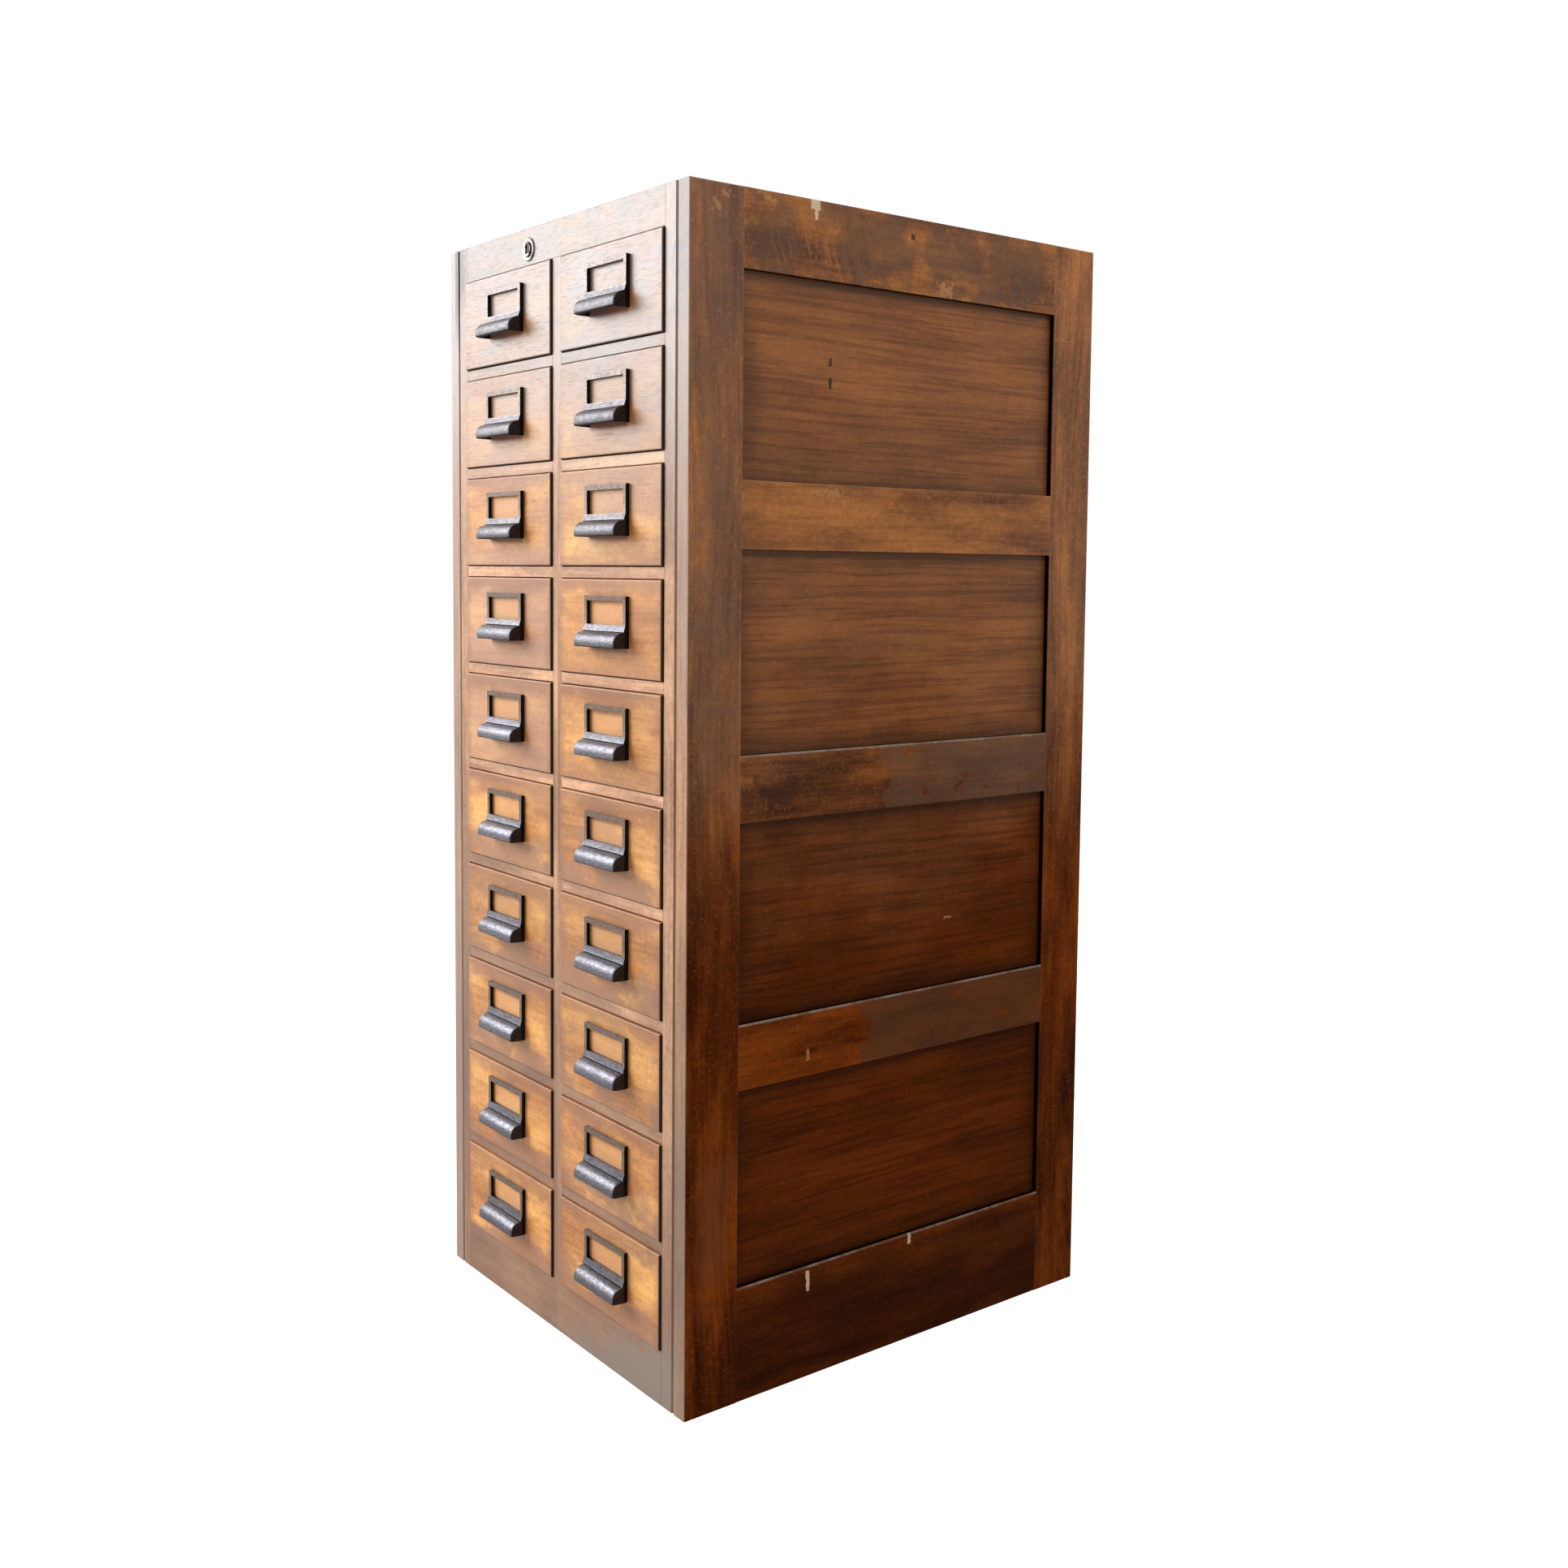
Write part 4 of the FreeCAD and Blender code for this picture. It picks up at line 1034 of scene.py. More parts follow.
# %% Tones of the drawer fronts
DRAWER_LIGHT = (0.76, 0.325, 0.095, 1)
DRAWER_DARK = (0.52, 0.200, 0.062, 1)
DRAWER_GLOW = (0.88, 0.455, 0.138, 1)
DRAWER_SHADES = (DRAWER_LIGHT, DRAWER_DARK, DRAWER_GLOW)
DRAWER_DULL = (0.40, 0.200, 0.115, 1)
PINK_BROWN = (0.50, 0.33, 0.280, 1)
PINK_ROWS = (0.56, 0.66, 0.84, 0.90)
PINK_SECOND_ROW = (0.962, 1.070)
HANDLED_HEAD = 0.63
HANDLED_FULL = 0.55
LOW_PART = 0.045
LOWEST_PART = 0.010
SWING_PER_ROW = math.pi / 3
MIDDLE_ROW = 4.5


def dulled(tree, place, z, count):
    """Where fingers have dulled the fronts, with ragged patches above."""
    patches = noise(tree, moved(tree, place, vector(tree, 0.0, count["Seed"], 0.0)), (11, 11, 20), 4.0, 0.65)
    low = step(tree, count["Rise"], LOW_PART, LOWEST_PART)
    handled = line(tree, step(tree, z, HANDLED_FULL, HANDLED_HEAD), -0.50, 0.80)
    return times(tree, step(tree, line(tree, low, 0.20, patches), 0.52, 0.68), handled)


def pinker(tree, x, z):
    """The drawers of the left column that have turned pink."""
    low, high = PINK_SECOND_ROW
    second = times(tree, over(tree, z, low), under(tree, z, high))
    return times(tree, most(tree, band(tree, z, *PINK_ROWS), second), under(tree, x, 0.0), 0.40)


def drawer_tone(tree, count):
    """A tone that swings from row to row, and a little by chance."""
    swing = calc(tree, "SINE", line(tree, count["Row"], SWING_PER_ROW, -MIDDLE_ROW * SWING_PER_ROW))
    return line(tree, swing, 0.10, line(tree, count["Seed"], 0.18, 0.97))


# %% [markdown]
# The holder and the pull show on the wood around them. Behind the empty window the wood kept
# its light golden colour, because the label shaded it. Right of the pull warm wood is painted
# where the pull's cast shadow keeps off the painted sheen, and under the pull a dark shadow is
# painted. The borders of each front are brown, its ends and underside are painted nearly black,
# partly dirt and partly shade where they meet the frame, and the arrises are rubbed pale.

# %% Traces and painted shadows on the drawer fronts
UNDER_LABEL = (0.84, 0.42, 0.17, 1)
UNDER_PULL_SHADE = (0.16, 0.050, 0.020, 1)
BESIDE_PULL_SHADOW = (0.76, 0.29, 0.095, 1)
BORDER_BROWN = (0.34, 0.150, 0.085, 1)
DRAWER_WORN = (0.74, 0.60, 0.49, 1)
END_GRIME_SHADE = (0.020, 0.009, 0.006, 1)
DRAWER_FOOT = DRAWER_LOW.z
DRAWER_FACE_H = 0.0997
PULL_HALF_W = (PULL_HIGH.x - PULL_LOW.x) / 2
PULL_RISE = (PULL_LOW.z - DRAWER_FOOT) % ROW_PITCH
LABEL_HALF_W = 0.036
LABEL_HALF_H = 0.014
LABEL_RISE = 0.0660
LABEL_SOFT = 0.001
BESIDE_SHADOW_NEAR = 0.005
BESIDE_SHADOW_FAR = 0.018
BESIDE_SHADOW_BAND = (-0.008, 0.0, 0.013, 0.022)
UNDER_PULL_SHADE_BAND = (-0.0075, -0.001, 0.004, 0.006)
UNDER_PULL_SHADE_END = 0.006
BROWN_CLEAN = 0.016
BROWN_FULL = -0.002
BROWN_RAGGED = 0.035


def through_sheen(tree, sheen_mask):
    """How far a trace shows through the painted sheen."""
    return line(tree, sheen_mask, -0.6, 0.6)


def label_trace(tree, offset, rise, sheen_mask):
    """The lighter wood behind a label window."""
    kept = minus(tree, LABEL_HALF_H, unsigned(tree, minus(tree, rise, LABEL_RISE)))
    kept = least(tree, minus(tree, LABEL_HALF_W, offset), kept)
    return times(tree, step(tree, kept, -LABEL_SOFT, LABEL_SOFT), through_sheen(tree, sheen_mask))


def pull_shadows(tree, x, offset, rise, color):
    """Painted shadows of a pull: warm wood in its cast shadow on the right, free of the painted sheen, and
    dark shade under it.
    """
    from_pull = minus(tree, rise, PULL_RISE)
    sideways = minus(tree, x, times(tree, calc(tree, "SIGN", x), COLUMN_X))
    beside_shadow = step(tree, sideways, PULL_HALF_W + BESIDE_SHADOW_FAR, PULL_HALF_W + BESIDE_SHADOW_NEAR)
    beside_shadow = times(tree, beside_shadow, over(tree, sideways, 0.0), band(tree, from_pull, *BESIDE_SHADOW_BAND))
    color = paint(tree, color, BESIDE_PULL_SHADOW, beside_shadow, 0.75)
    between_ends = step(tree, offset, PULL_HALF_W, PULL_HALF_W - UNDER_PULL_SHADE_END)
    return paint(tree, color, UNDER_PULL_SHADE, band(tree, from_pull, *UNDER_PULL_SHADE_BAND), between_ends, 0.75)


def brown_border(tree, place, offset, rise, sheen_mask):
    """A ragged brown border all round a front."""
    inside = least(tree, minus(tree, DRAWER_HALF_W, offset), rise, minus(tree, DRAWER_FACE_H, rise))
    inside = line(tree, cloud(tree, place, (28, 28, 28), 4.0, 0.65), BROWN_RAGGED, inside)
    return times(tree, step(tree, inside, BROWN_CLEAN, BROWN_FULL), through_sheen(tree, sheen_mask))


def grimy_shaded_ends(tree):
    """1 on the ends and the underside of a front, which are painted dark as dirt and shade."""
    nx, ny, nz = facing(tree)
    return step(tree, most(tree, unsigned(tree, nx), times(tree, nz, -1.0)), 0.45, 0.80)


# %% [markdown]
# The dovetails that join the sides to the front show on the outside of the box: the same sum
# that spaced them in the construction model draws them here. Inside a tail the wood is that
# of the side, and outside it is the finished front.

# %% Dovetails
TAILS = 3
TAIL_TIP_BEHIND_FACE = 0.005
TAIL_TIP_SHARE = 0.78
TAIL_SLOPE = math.tan(math.radians(9))
DRAWER_SIDE_H = 0.092
TAIL_PITCH = DRAWER_SIDE_H / TAILS
BOX_SIDE_T = 0.010
SKIN = 0.0012


def dovetails(tree, y, offset, rise):
    """1 on the tails of the sides, where they show in the ends of the front."""
    back_of_tip = minus(tree, y, DRAWER_FACE_Y + TAIL_TIP_BEHIND_FACE)
    level = calc(tree, "FRACT", calc(tree, "DIVIDE", rise, TAIL_PITCH))
    from_middle = times(tree, unsigned(tree, minus(tree, level, 0.5)), TAIL_PITCH)
    half_tail = line(tree, back_of_tip, -TAIL_SLOPE, TAIL_PITCH * TAIL_TIP_SHARE / 2)
    return times(tree, over(tree, back_of_tip, 0.0), under(tree, from_middle, half_tail),
                 over(tree, offset, DRAWER_HALF_W - SKIN))


def box_wood(tree, place, seed, offset):
    """The plain wood of a drawer's box, with its grain along each board."""
    is_side = over(tree, offset, DRAWER_HALF_W - BOX_SIDE_T)
    across, lengthwise = [plain_oak(tree, place, axis, seed, Mottle=0.25)["Color"] for axis in ("X", "Y")]
    return blend(tree, is_side, across, lengthwise)


# %% [markdown]
# The drawer's material puts these together, from the wood outwards: its tones and the label's
# trace, the painted sheen over them, then the pull's painted shadows, the borders, the rubbed
# edges and the ends painted dark, and at last the choice between the finished front and the plain box.

# %% Drawers


def drawer_oak():
    """The drawer's finished front and its plain box."""
    material, tree, shader = principled("drawer_oak", 0.4, 0.32)
    place = object_place(tree)
    x, y, z = parts_of(tree, place)
    count = use(tree, COUNT, Foot=DRAWER_FOOT, Pitch=ROW_PITCH)
    seed, rise = count["Seed"], count["Rise"]
    offset = unsigned(tree, minus(tree, unsigned(tree, x), COLUMN_X))
    # The painted sheen of the window light lies over the fronts.
    sheen_mask = painted_sheen(tree, place, z)
    wood = oak(tree, along(tree, place, "X"), DRAWER_SHADES, Seed=seed, Warm=0.9, Lines=0.18, Sway=0.03,
               Fleck=0.12, Mottle=0.8, Gloss=0.42)
    color = paint(tree, wood["Color"], DRAWER_DULL, dulled(tree, place, z, count))
    color = paint(tree, color, PINK_BROWN, pinker(tree, x, z))
    color = paint(tree, color, UNDER_LABEL, label_trace(tree, offset, rise, sheen_mask))
    color = with_painted_sheen(tree, sheen_mask, toned(tree, color, drawer_tone(tree, count)))
    # Painted shadows of the pull: warm wood in its cast shadow, dark shade under it.
    color = pull_shadows(tree, x, offset, rise, color)
    color = paint(tree, color, BORDER_BROWN, brown_border(tree, place, offset, rise, sheen_mask))
    color = paint(tree, color, DRAWER_WORN, rubbed(tree, 0.0018, 0.75))
    # The ends and underside of each front are painted dark: dirt and shade.
    color = paint(tree, color, END_GRIME_SHADE, grimy_shaded_ends(tree))

    in_front = under(tree, y, DRAWER_FRONT_BACK - SLACK)
    finished = times(tree, in_front, rest(tree, dovetails(tree, y, offset, rise)))
    color = paint(tree, box_wood(tree, place, seed, offset), color, finished)
    rough = calc(tree, "MULTIPLY_ADD", rest(tree, finished), 0.2, wood["Roughness"], clamp=True)
    fill(tree, shader, Base_Color=color, Roughness=rough,
         Coat_Weight=times(tree, finished, front_coat(tree, x, sheen_mask, 0.16)))
    set_bump(tree, shader, wood["Height"], 0.35, GRAIN_DEPTH)
    return material


drawer_finish = drawer_oak()
for side in SIDES:
    for row in range(1, ROWS + 1):
        dress(f"drawer_{side}_{row:02d}", drawer_finish)
print("drawers dressed:", ROWS * len(SIDES))

# %% [markdown]
# The boards inside never had a finish. They are plain wood with rubbed edges, without coat and
# rougher than the front. The grain of the bottom board and the stops lies across the chest,
# and that of the partition and the runners lies the way that the drawers slide.

# %% Inside the case


def inner_wood(name, axis):
    """Plain unvarnished wood."""
    material, tree, shader = principled(name, 0.3)
    place = object_place(tree)
    seed = use(tree, COUNT, Foot=DRAWER_FOOT, Pitch=ROW_PITCH)["Seed"]
    wood = plain_oak(tree, place, axis, seed, Mottle=0.4, Gloss=0.7)
    color = paint(tree, wood["Color"], INNER_WORN, rubbed(tree, 0.001, 0.5))
    fill(tree, shader, Base_Color=color, Roughness=wood["Roughness"])
    set_bump(tree, shader, wood["Height"], 0.3, 0.0003)
    return material


inner_across = inner_wood("inner_wood_across", "X")
inner_along = inner_wood("inner_wood_along", "Y")
dress("bottom_board", inner_across)
dress("drawer_stops", inner_across)
dress("centre_partition", inner_along)
dress("drawer_runners", inner_along)
print("inner boards dressed: 4 nodes")

# %% [markdown]
# The castings were blackened all over. Years of use have polished the flat front of the frame
# and the slopes, and their colours are painted reflections as well as polish: a soft beige on
# the flat front, paler near the top of the chest under the painted sheen, and grey steel on the
# slopes, darker on the upper pulls. The sides and hollows kept their black. So the finish depends
# on which way the surface faces, with noise for the scratches, and the polish is metal while the black isn't.

# %% Cast metal
FRONT_POLISH_REFLECTION = (0.27, 0.19, 0.145, 1)
HIGH_FRONT_SHEEN = (0.52, 0.46, 0.440, 1)
SLOPE_POLISH_REFLECTION = (0.190, 0.185, 0.210, 1)
HIGH_SLOPE_REFLECTION = (0.115, 0.108, 0.118, 1)
BLACKING_AND_SHADE = (0.010, 0.007, 0.006, 1)
HOOD_END = (0.045, 0.032, 0.029, 1)
RUBBED_IRON = (0.36, 0.33, 0.32, 1)
FRAME_PROUD = 0.0045


def iron_polish_and_reflection(tree, place, z, flat, scratches):
    """The colour of the polished faces with painted reflection: beige on the flat frame, paler under the
    painted sheen, and grey on the slopes, darker higher up.
    """
    # Painted reflections: the slopes darker higher up, the flat front paler under the painted sheen.
    slope = blend(tree, step(tree, z, 0.60, 1.0), SLOPE_POLISH_REFLECTION, HIGH_SLOPE_REFLECTION)
    front = blend(tree, painted_sheen(tree, place, z), FRONT_POLISH_REFLECTION, HIGH_FRONT_SHEEN)
    return paint(tree, blend(tree, flat, slope, front), BLACKING_AND_SHADE, step(tree, scratches, 0.42, 0.62), 0.5)


def cast_metal():
    """Blackened iron with polished faces, coloured as polish and painted reflection."""
    material, tree, shader = principled("pull_iron", 0.10)
    place = object_place(tree)
    x, y, z = parts_of(tree, place)
    nx, ny, nz = facing(tree)
    scratches = noise(tree, place, (160, 500, 700), 3.0, 0.7)
    dents = noise(tree, place, (120, 120, 120), 3.0, 0.6)
    ahead = times(tree, ny, -1.0)
    on_frame = over(tree, y, DRAWER_FACE_Y - FRAME_PROUD - 0.0004)
    flat = times(tree, step(tree, ahead, 0.93, 0.99), on_frame)
    straight = rest(tree, step(tree, unsigned(tree, nx), 0.45, 0.85))
    polished = times(tree, step(tree, line(tree, nz, 0.8, ahead), 0.35, 0.80), straight)
    rub = times(tree, rubbed(tree, 0.0008, 0.5), straight)
    hood_end = times(tree, over(tree, nx, 0.85), rest(tree, on_frame))
    color = paint(tree, paint(tree, BLACKING_AND_SHADE, HOOD_END, hood_end),
                  iron_polish_and_reflection(tree, place, z, flat, scratches), polished)
    metal = times(tree, most(tree, polished, rub), line(tree, flat, -0.75, 1.0))
    fill(tree, shader, Base_Color=paint(tree, color, RUBBED_IRON, rub), Metallic=metal,
         Roughness=line(tree, dents, 0.3, 0.30))
    set_bump(tree, shader, line(tree, scratches, 0.3, dents), 0.35, 0.0006)
    return material


pull_iron = cast_metal()
print("pull finish with", len(pull_iron.node_tree.nodes), "nodes")

# %% [markdown]
# The lock and the screws are turned or rolled metal, tarnished in patches. Of the lock only
# the barrel shows, in the middle of the ring: a dull brass plug whose keyhole slot is painted
# black as shade. The slot alone would catch too much light to look deep, so a mark blackens it.

# %% Lock and screw metal
RING_LOW, RING_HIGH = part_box("keyhole_escutcheon")
ring_x = (RING_LOW.x + RING_HIGH.x) / 2
ring_z = (RING_LOW.z + RING_HIGH.z) / 2
BARREL_FACE_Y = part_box("lock_barrel")[0].y
KEYHOLE_SHADE_PLACE = (ring_x + 0.0026, BARREL_FACE_Y, ring_z + 0.0010)
KEYHOLE_SHADE_HALF = (0.0045, 0.030, 0.0062)
DULL_BRASS = (0.27, 0.26, 0.235, 1)
BRASS_TARNISH = (0.15, 0.14, 0.12, 1)
BARREL_BRASS = (0.24, 0.235, 0.21, 1)
BARREL_TARNISH = (0.13, 0.12, 0.10, 1)
STEEL = (0.40, 0.40, 0.42, 1)
STEEL_TARNISH = (0.22, 0.20, 0.19, 1)
SCREW_STEEL = (0.34, 0.33, 0.32, 1)
SCREW_TARNISH = (0.16, 0.14, 0.13, 1)


def plain_metal(name, color, tarnish, roughness, keyhole=False):
    """A turned or rolled metal with tarnish in patches, and perhaps the keyhole's painted shade."""
    material, tree, shader = principled(name, 0.5)
    spots = noise(tree, object_place(tree), (160, 160, 160), 4.0, 0.65)
    shade = blend(tree, step(tree, spots, 0.42, 0.62), color, tarnish)
    if keyhole:
        # The keyhole slot is painted black as shade.
        shade = paint(tree, shade, BLACKING_AND_SHADE, mark(tree, KEYHOLE_SHADE_PLACE, KEYHOLE_SHADE_HALF, 0.0006, 400))
    fill(tree, shader, Base_Color=shade, Metallic=1.0, Roughness=line(tree, spots, 0.35, roughness - 0.17))
    set_bump(tree, shader, spots, 0.15, 0.0003)
    return material


lock_metal = plain_metal("lock_brass", DULL_BRASS, BRASS_TARNISH, 0.45)
bar_steel = plain_metal("bar_steel", STEEL, STEEL_TARNISH, 0.42)
screw_steel = plain_metal("screw_steel", SCREW_STEEL, SCREW_TARNISH, 0.45)
dress("lock_case", lock_metal)
dress("lock_barrel", plain_metal("barrel_brass", BARREL_BRASS, BARREL_TARNISH, 0.45, keyhole=True))
dress("lock_bar", bar_steel)
print("lock at", round(ring_x, 4), round(ring_z, 4))

# %% [markdown]
# New pieces are shaped in edit mode, as by hand. Three helpers cover most steps: one adds a
# block at its size and place, one selects the parts of a mesh that lie in some place, and one
# joins or cuts one solid with another. Joins and small bevels leave corners that lie at one
# place, with faces without area between them, so one more helper merges and removes them.

# %% Helpers for modelling
TINY = 1e-5
PART_MODES = {
    "vertices": (True, False, False),
    "edges": (False, True, False),
    "polygons": (False, False, True),
}


def start_block(name, low, high):
    """Add a block that fills a box, ready to shape."""
    low, high = Vector(low), Vector(high)
    bpy.ops.object.select_all(action="DESELECT")
    bpy.ops.mesh.primitive_cube_add(size=1, location=(low + high) / 2)
    piece = bpy.context.object
    piece.name = name
    piece.scale = high - low
    bpy.ops.object.transform_apply(location=True, rotation=True, scale=True)
    return piece


def pick(piece, kind, inside):
    """Open a piece in edit mode with the parts selected that lie wholly inside a place."""
    mesh = piece.data
    bpy.ops.object.select_all(action="DESELECT")
    piece.select_set(True)
    bpy.context.view_layer.objects.active = piece
    bpy.context.tool_settings.mesh_select_mode = PART_MODES[kind]
    for parts in (mesh.vertices, mesh.edges, mesh.polygons):
        parts.foreach_set("select", [False] * len(parts))
    for part in getattr(mesh, kind):
        corners = [part.index] if kind == "vertices" else part.vertices
        part.select = all(inside(mesh.vertices[i].co) for i in corners)
    bpy.ops.object.mode_set(mode="EDIT")


def done():
    """Leave edit mode."""
    bpy.ops.object.mode_set(mode="OBJECT")


def cut_across(piece, place, normal):
    """Cut new edges all round a piece."""
    pick(piece, "polygons", lambda p: True)
    bpy.ops.mesh.bisect(plane_co=place, plane_no=normal)
    done()


def near(a, b):
    """Whether two lengths are the same."""
    return abs(a - b) < TINY


def apply_modifier(piece, kind, **values):
    """Add a modifier, set it and apply it."""
    modifier = piece.modifiers.new(kind.lower(), kind)
    for name, value in values.items():
        setattr(modifier, name, value)
    bpy.ops.object.select_all(action="DESELECT")
    piece.select_set(True)
    bpy.context.view_layer.objects.active = piece
    bpy.ops.object.modifier_apply(modifier=modifier.name)


def combine(piece, other, operation):
    """Join a second solid to a piece, or cut it out, and remove it."""
    apply_modifier(piece, "BOOLEAN", operation=operation, object=other, solver="EXACT")
    bpy.data.objects.remove(other)


def clean_up(piece):
    """Merge corners that lie at one place, and remove faces without area or there twice."""
    pick(piece, "polygons", lambda p: True)
    bpy.ops.mesh.remove_doubles(threshold=TINY)
    bpy.ops.mesh.dissolve_degenerate(threshold=TINY)
    done()
    piece.data.validate()


# %% [markdown]
# The label holder and its finger pull are one casting. From the side it has a thin frame, a
# short sloping sill, a fine groove, and a hood like a quarter of a barrel. The frame starts as
# a block. It is cut all round at the levels of the sill, and the new front edges there are
# pulled forward, which slopes the faces between them.

# %% Shape the frame and its sill
PULL_BAR = 0.005
WINDOW_H = 0.0245
SILL_FALL = 0.0065
SILL_REACH = 0.0065
GROOVE_REACH = 0.0056
GROOVE_FALL = 0.001
PAST = 0.002

pull_left, pull_front, pull_foot = PULL_LOW
pull_right, _, pull_top = PULL_HIGH
face = DRAWER_FACE_Y
window_foot = pull_top - PULL_BAR - WINDOW_H
sill_foot = window_foot - SILL_FALL
hood_top = sill_foot - GROOVE_FALL

holder = start_block("label_pull", (pull_left, face - FRAME_PROUD, hood_top - PAST),
                     (pull_right, face, pull_top))
for level in (window_foot, sill_foot, hood_top):
    cut_across(holder, (0, 0, level), (0, 0, 1))
for level, reach in ((sill_foot, SILL_REACH), (hood_top, GROOVE_REACH)):
    pick(holder, "edges", lambda p: p.y < face - TINY and near(p.z, level))
    bpy.ops.transform.translate(value=(0, FRAME_PROUD - reach, 0))
    done()
print("frame corners", len(holder.data.vertices))

# %% [markdown]
# The hood is a block whose front edges are bevelled until they are round. A wide bevel along
# the top makes the quarter of a barrel, a small one under it makes the lip, and the two front
# corners are rounded last, so that their rounding follows both.

# %% Shape the hood
HOOD_R = 0.0108
HOOD_END_R = 0.0030
LIP_R = 0.0020

hood = start_block("hood", (pull_left, pull_front, pull_foot), (pull_right, face, hood_top))
pick(hood, "edges", lambda p: near(p.y, pull_front) and near(p.z, hood_top))
bpy.ops.mesh.bevel(offset=HOOD_R, segments=8, affect="EDGES")
done()
pick(hood, "edges", lambda p: near(p.y, pull_front) and near(p.z, pull_foot))
bpy.ops.mesh.bevel(offset=LIP_R, segments=3, affect="EDGES")
done()
round_back = pull_front + HOOD_R
for end in (pull_left, pull_right):
    pick(hood, "edges", lambda p: near(p.x, end) and p.y < round_back + TINY)
    bpy.ops.mesh.bevel(offset=HOOD_END_R, segments=4, affect="EDGES")
    done()
print("hood corners", len(hood.data.vertices))

# %% [markdown]
# Frame and hood are joined, and the finger space, the window and the thin slot for the label
# are cut out, each with a block of its own. The finger space is rounded like the hood around
# it, so that the wall between them is even. A tiny bevel then softens every sharp edge, as on
# a real casting.

# %% Hollow out the casting
WALL = 0.0028
CHEEK = 0.0030
LABEL_LIP = 0.0030
LABEL_SLOT = 0.0012
CAST_ROUND = 0.0005
SHARP_OVER = math.radians(35)
SMOOTH_UNDER = math.radians(40)

fingers = start_block("fingers", (pull_left + CHEEK, pull_front + WALL, pull_foot - PAST),
                      (pull_right - CHEEK, face + PAST, hood_top - WALL))
pick(fingers, "edges", lambda p: near(p.y, pull_front + WALL) and near(p.z, hood_top - WALL))
bpy.ops.mesh.bevel(offset=HOOD_R - WALL, segments=6, affect="EDGES")
done()
window = start_block("window", (pull_left + PULL_BAR, face - FRAME_PROUD - PAST, window_foot),
                     (pull_right - PULL_BAR, face + PAST, pull_top - PULL_BAR))
slot_side = PULL_BAR - LABEL_LIP
slot = start_block("slot", (pull_left + slot_side, face - LABEL_SLOT, window_foot),
                   (pull_right - slot_side, face + PAST, pull_top + PAST))
combine(holder, hood, "UNION")
for cutter in (fingers, window, slot):
    combine(holder, cutter, "DIFFERENCE")
apply_modifier(holder, "BEVEL", width=CAST_ROUND, segments=2, limit_method="ANGLE", angle_limit=SHARP_OVER)
clean_up(holder)
bpy.ops.object.shade_smooth_by_angle(angle=SMOOTH_UNDER)
holder.data.materials.append(pull_iron)
print("label holder", len(holder.data.polygons), "faces")

# %% [markdown]
# Two round-headed screws hold each casting from inside the drawer. A head is a short
# cylinder with its rim rounded and a slot cut across it, and its shank is pulled out of the
# underside. The second screw is a copy of the first.

# %% Shape the screws
SCREW_SPREAD = 0.028
SCREW_R = 0.00175
SCREW_HEAD_R = 0.0035
SCREW_BITE = 0.004
SLOT_W = 0.0010
SLOT_DEPTH = 0.0011
SCREW_RIM = 0.0009
screw_x = COLUMN_X + SCREW_SPREAD
screw_z = (window_foot + sill_foot) / 2
head_back = DRAWER_FRONT_BACK + SCREW_HEAD


def start_disc(name, radius, front, back, x, z, corners=32):
    """Add a round piece that lies along Y."""
    bpy.ops.object.select_all(action="DESELECT")
    bpy.ops.mesh.primitive_cylinder_add(vertices=corners, radius=radius, depth=back - front,
                                        location=(x, (front + back) / 2, z),
                                        rotation=(math.radians(90), 0, 0))
    piece = bpy.context.object
    piece.name = name
    bpy.ops.object.transform_apply(location=True, rotation=True, scale=True)
    return piece


screw = start_disc("screw", SCREW_HEAD_R, DRAWER_FRONT_BACK, head_back, screw_x, screw_z, 24)
pick(screw, "polygons", lambda p: near(p.y, DRAWER_FRONT_BACK))
bpy.ops.mesh.inset(thickness=SCREW_HEAD_R - SCREW_R)
shank = DRAWER_FRONT_BACK - face + SCREW_BITE
bpy.ops.mesh.extrude_region_move(TRANSFORM_OT_translate={"value": (0, -shank, 0)})
done()
pick(screw, "edges", lambda p: near(p.y, head_back))
bpy.ops.mesh.bevel(offset=SCREW_RIM, segments=3, affect="EDGES")
done()
cutter = start_block("cutter", (screw_x - 2 * SCREW_HEAD_R, head_back - SLOT_DEPTH, screw_z - SLOT_W / 2),
                     (screw_x + 2 * SCREW_HEAD_R, head_back + PAST, screw_z + SLOT_W / 2))
combine(screw, cutter, "DIFFERENCE")
bpy.ops.object.shade_smooth_by_angle(angle=SMOOTH_UNDER)
screw.data.materials.append(screw_steel)
second = screw.copy()
second.data = screw.data.copy()
second.data.transform(Matrix.Translation((-2 * SCREW_SPREAD, 0, 0)))
bpy.context.scene.collection.objects.link(second)
bpy.ops.object.select_all(action="DESELECT")
for piece in (screw, second, holder):
    piece.select_set(True)
bpy.context.view_layer.objects.active = holder
bpy.ops.object.join()
print("label holder with its screws", len(holder.data.polygons), "faces")

# %% [markdown]
# The same casting is screwed to every drawer. Each copy has its own mesh, moved to its
# drawer, and rides on that drawer in place of the plain one.

# %% Put a label holder on every drawer
for side in SIDES:
    for row in range(1, ROWS + 1):
        copy = holder.copy()
        copy.data = holder.data.copy()
        copy.name = f"label_pull_{side}_{row:02d}"
        column = -2 * COLUMN_X if side == "left" else 0
        copy.data.transform(Matrix.Translation((column, 0, (1 - row) * ROW_PITCH)))
        bpy.context.scene.collection.objects.link(copy)
        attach(copy, f"{side}_drawer_{row:02d}")
        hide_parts(f"pull_{side}_{row:02d}")
bpy.data.objects.remove(holder)
print("label holders", ROWS * len(SIDES))

# %% [markdown]
# A small raised ring surrounds the keyhole. It is a disc with a hole: the two round faces are
# inset and removed, the edges left are bridged, and both rims in front are rounded, the outer
# one more.

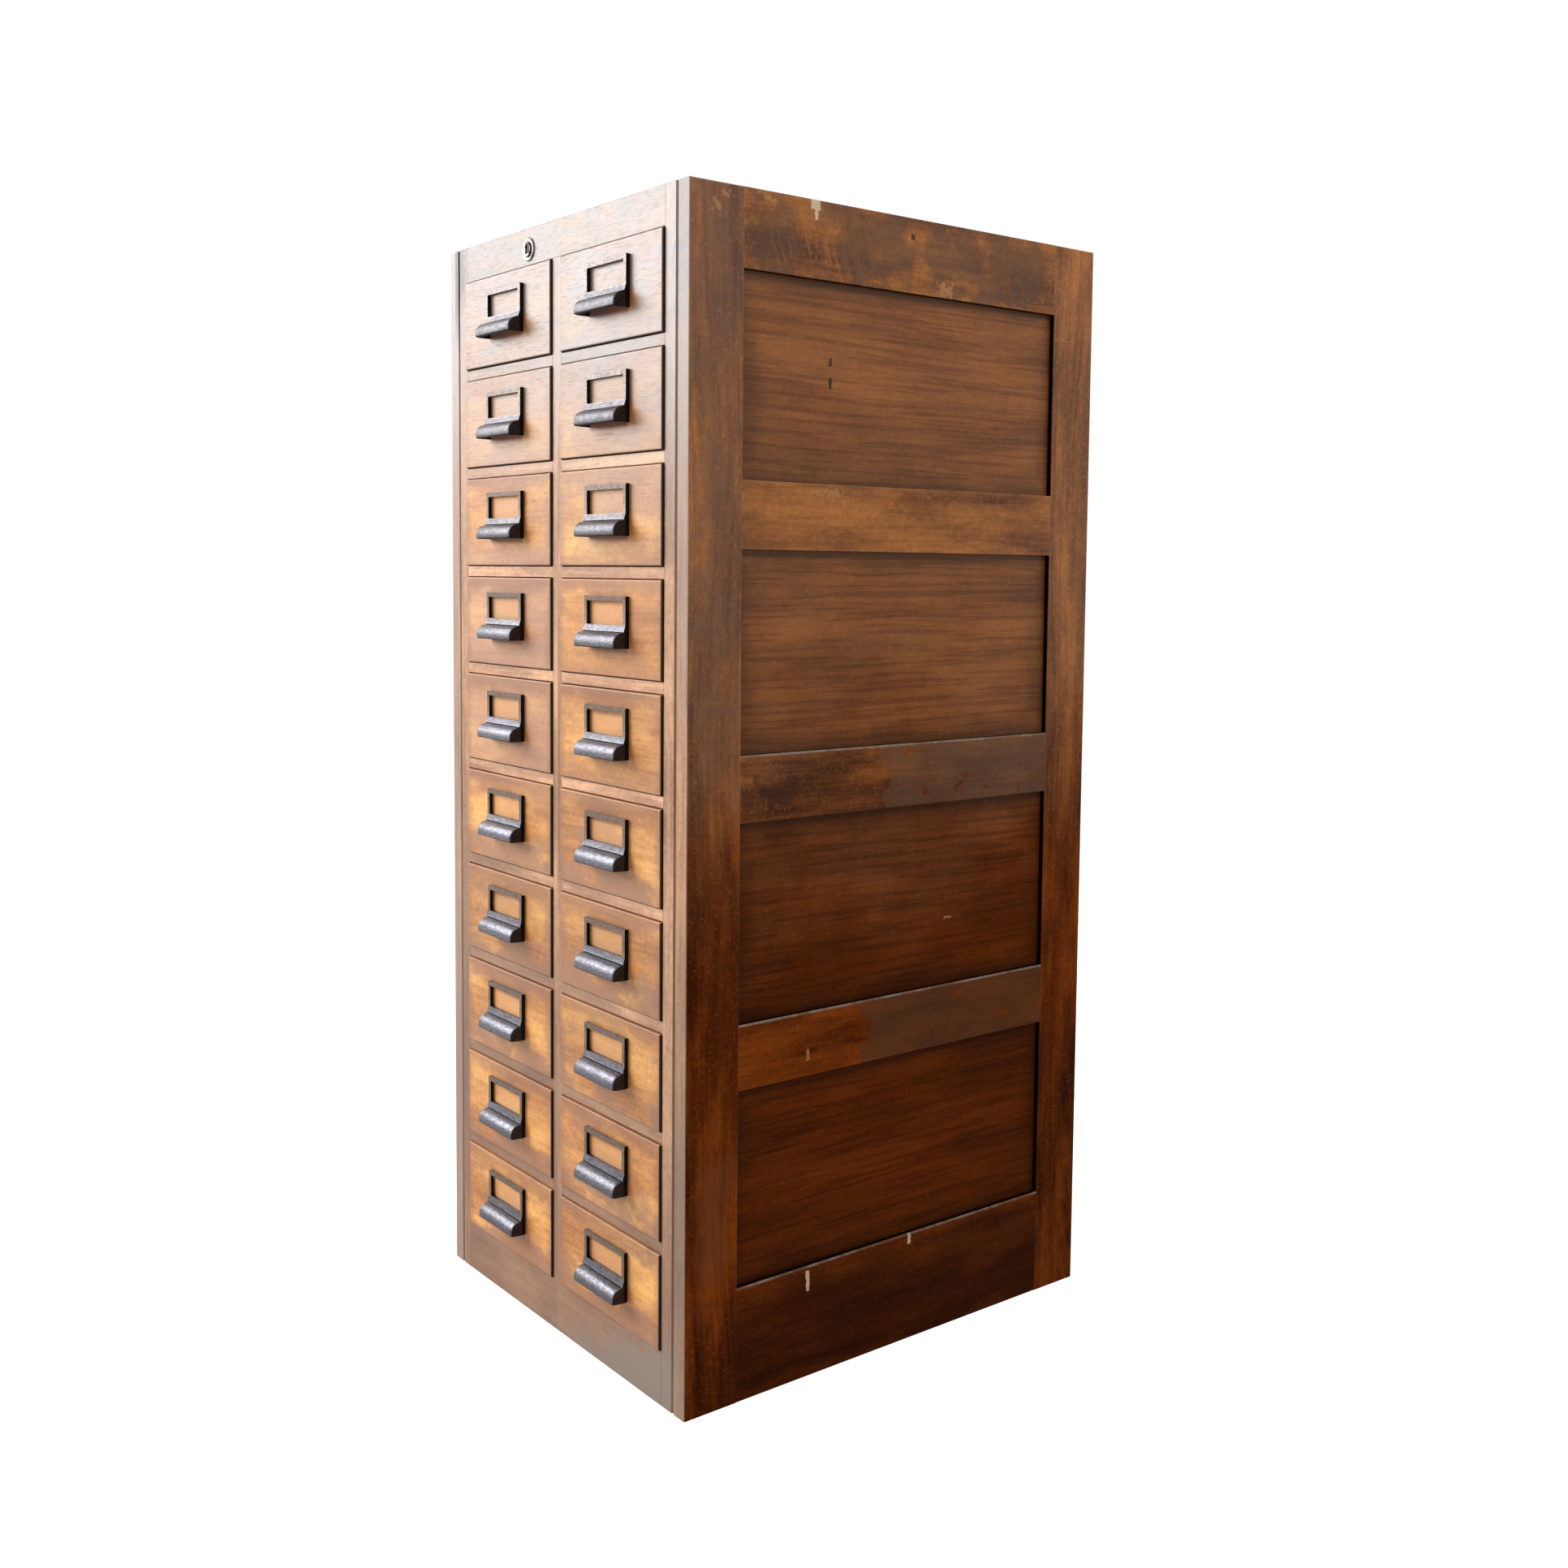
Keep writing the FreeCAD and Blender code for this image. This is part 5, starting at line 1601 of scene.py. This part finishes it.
# %% Keyhole ring
HOLE_R = 0.0084
RING_ROUND = 0.0012
HOLE_ROUND = 0.0004
ring_r = (RING_HIGH.x - RING_LOW.x) / 2
mid_r = (ring_r + HOLE_R) / 2


def from_axis(p):
    """The distance from the lock's axis."""
    return math.hypot(p.x - ring_x, p.z - ring_z)


ring = start_disc("keyhole_ring", ring_r, RING_LOW.y, RING_HIGH.y, ring_x, ring_z, 64)
for side_y in (RING_LOW.y, RING_HIGH.y):
    pick(ring, "polygons", lambda p: near(p.y, side_y))
    bpy.ops.mesh.inset(thickness=ring_r - HOLE_R)
    bpy.ops.mesh.delete(type="FACE")
    done()
pick(ring, "edges", lambda p: from_axis(p) < mid_r)
bpy.ops.mesh.bridge_edge_loops()
done()
pick(ring, "edges", lambda p: near(p.y, RING_LOW.y) and from_axis(p) > mid_r)
bpy.ops.mesh.bevel(offset=RING_ROUND, segments=4, affect="EDGES")
done()
pick(ring, "edges", lambda p: near(p.y, RING_LOW.y) and from_axis(p) < mid_r)
bpy.ops.mesh.bevel(offset=HOLE_ROUND, segments=2, affect="EDGES")
done()
pick(ring, "polygons", lambda p: True)
bpy.ops.mesh.normals_make_consistent(inside=False)
done()
bpy.ops.object.shade_smooth_by_angle(angle=SMOOTH_UNDER)
ring.data.materials.append(lock_metal)
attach(ring, "case")
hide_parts("keyhole_escutcheon")
print("keyhole ring", len(ring.data.polygons), "faces")

# %% [markdown]
# The chest stands on a plain white ground with no edge. Painted white alone, the floor would
# look grey, so it also glows, but only towards the camera, and lights nothing. The
# surroundings are white where the camera or a reflection looks at them, and dim for all other
# light, so that the two lamps do the shading.

# %% Floor and surroundings
FLOOR_GLOW = 0.86
AMBIENT = 0.16
PAINT_WHITE = (0.85, 0.85, 0.85, 1)
WHITE = (1, 1, 1, 1)
pale, tree, shader = principled("floor_paint", 0.0)
floor_seen = add(tree, "LightPath").outputs["Is Camera Ray"]
glow = blend(tree, floor_seen, BLACK, WHITE)
fill(tree, shader, Base_Color=PAINT_WHITE, Roughness=1.0, Emission_Color=glow, Emission_Strength=FLOOR_GLOW)
floor.data.materials.append(pale)

world = bpy.data.worlds.new("surroundings")
world.use_nodes = True
bpy.context.scene.world = world
tree = world.node_tree
paths = add(tree, "LightPath").outputs
seen = most(tree, paths["Is Camera Ray"], paths["Is Glossy Ray"], paths["Is Transmission Ray"])
fill(tree, tree.nodes["Background"], Color=WHITE, Strength=line(tree, seen, 1 - AMBIENT, AMBIENT))
print("ambient light", AMBIENT)
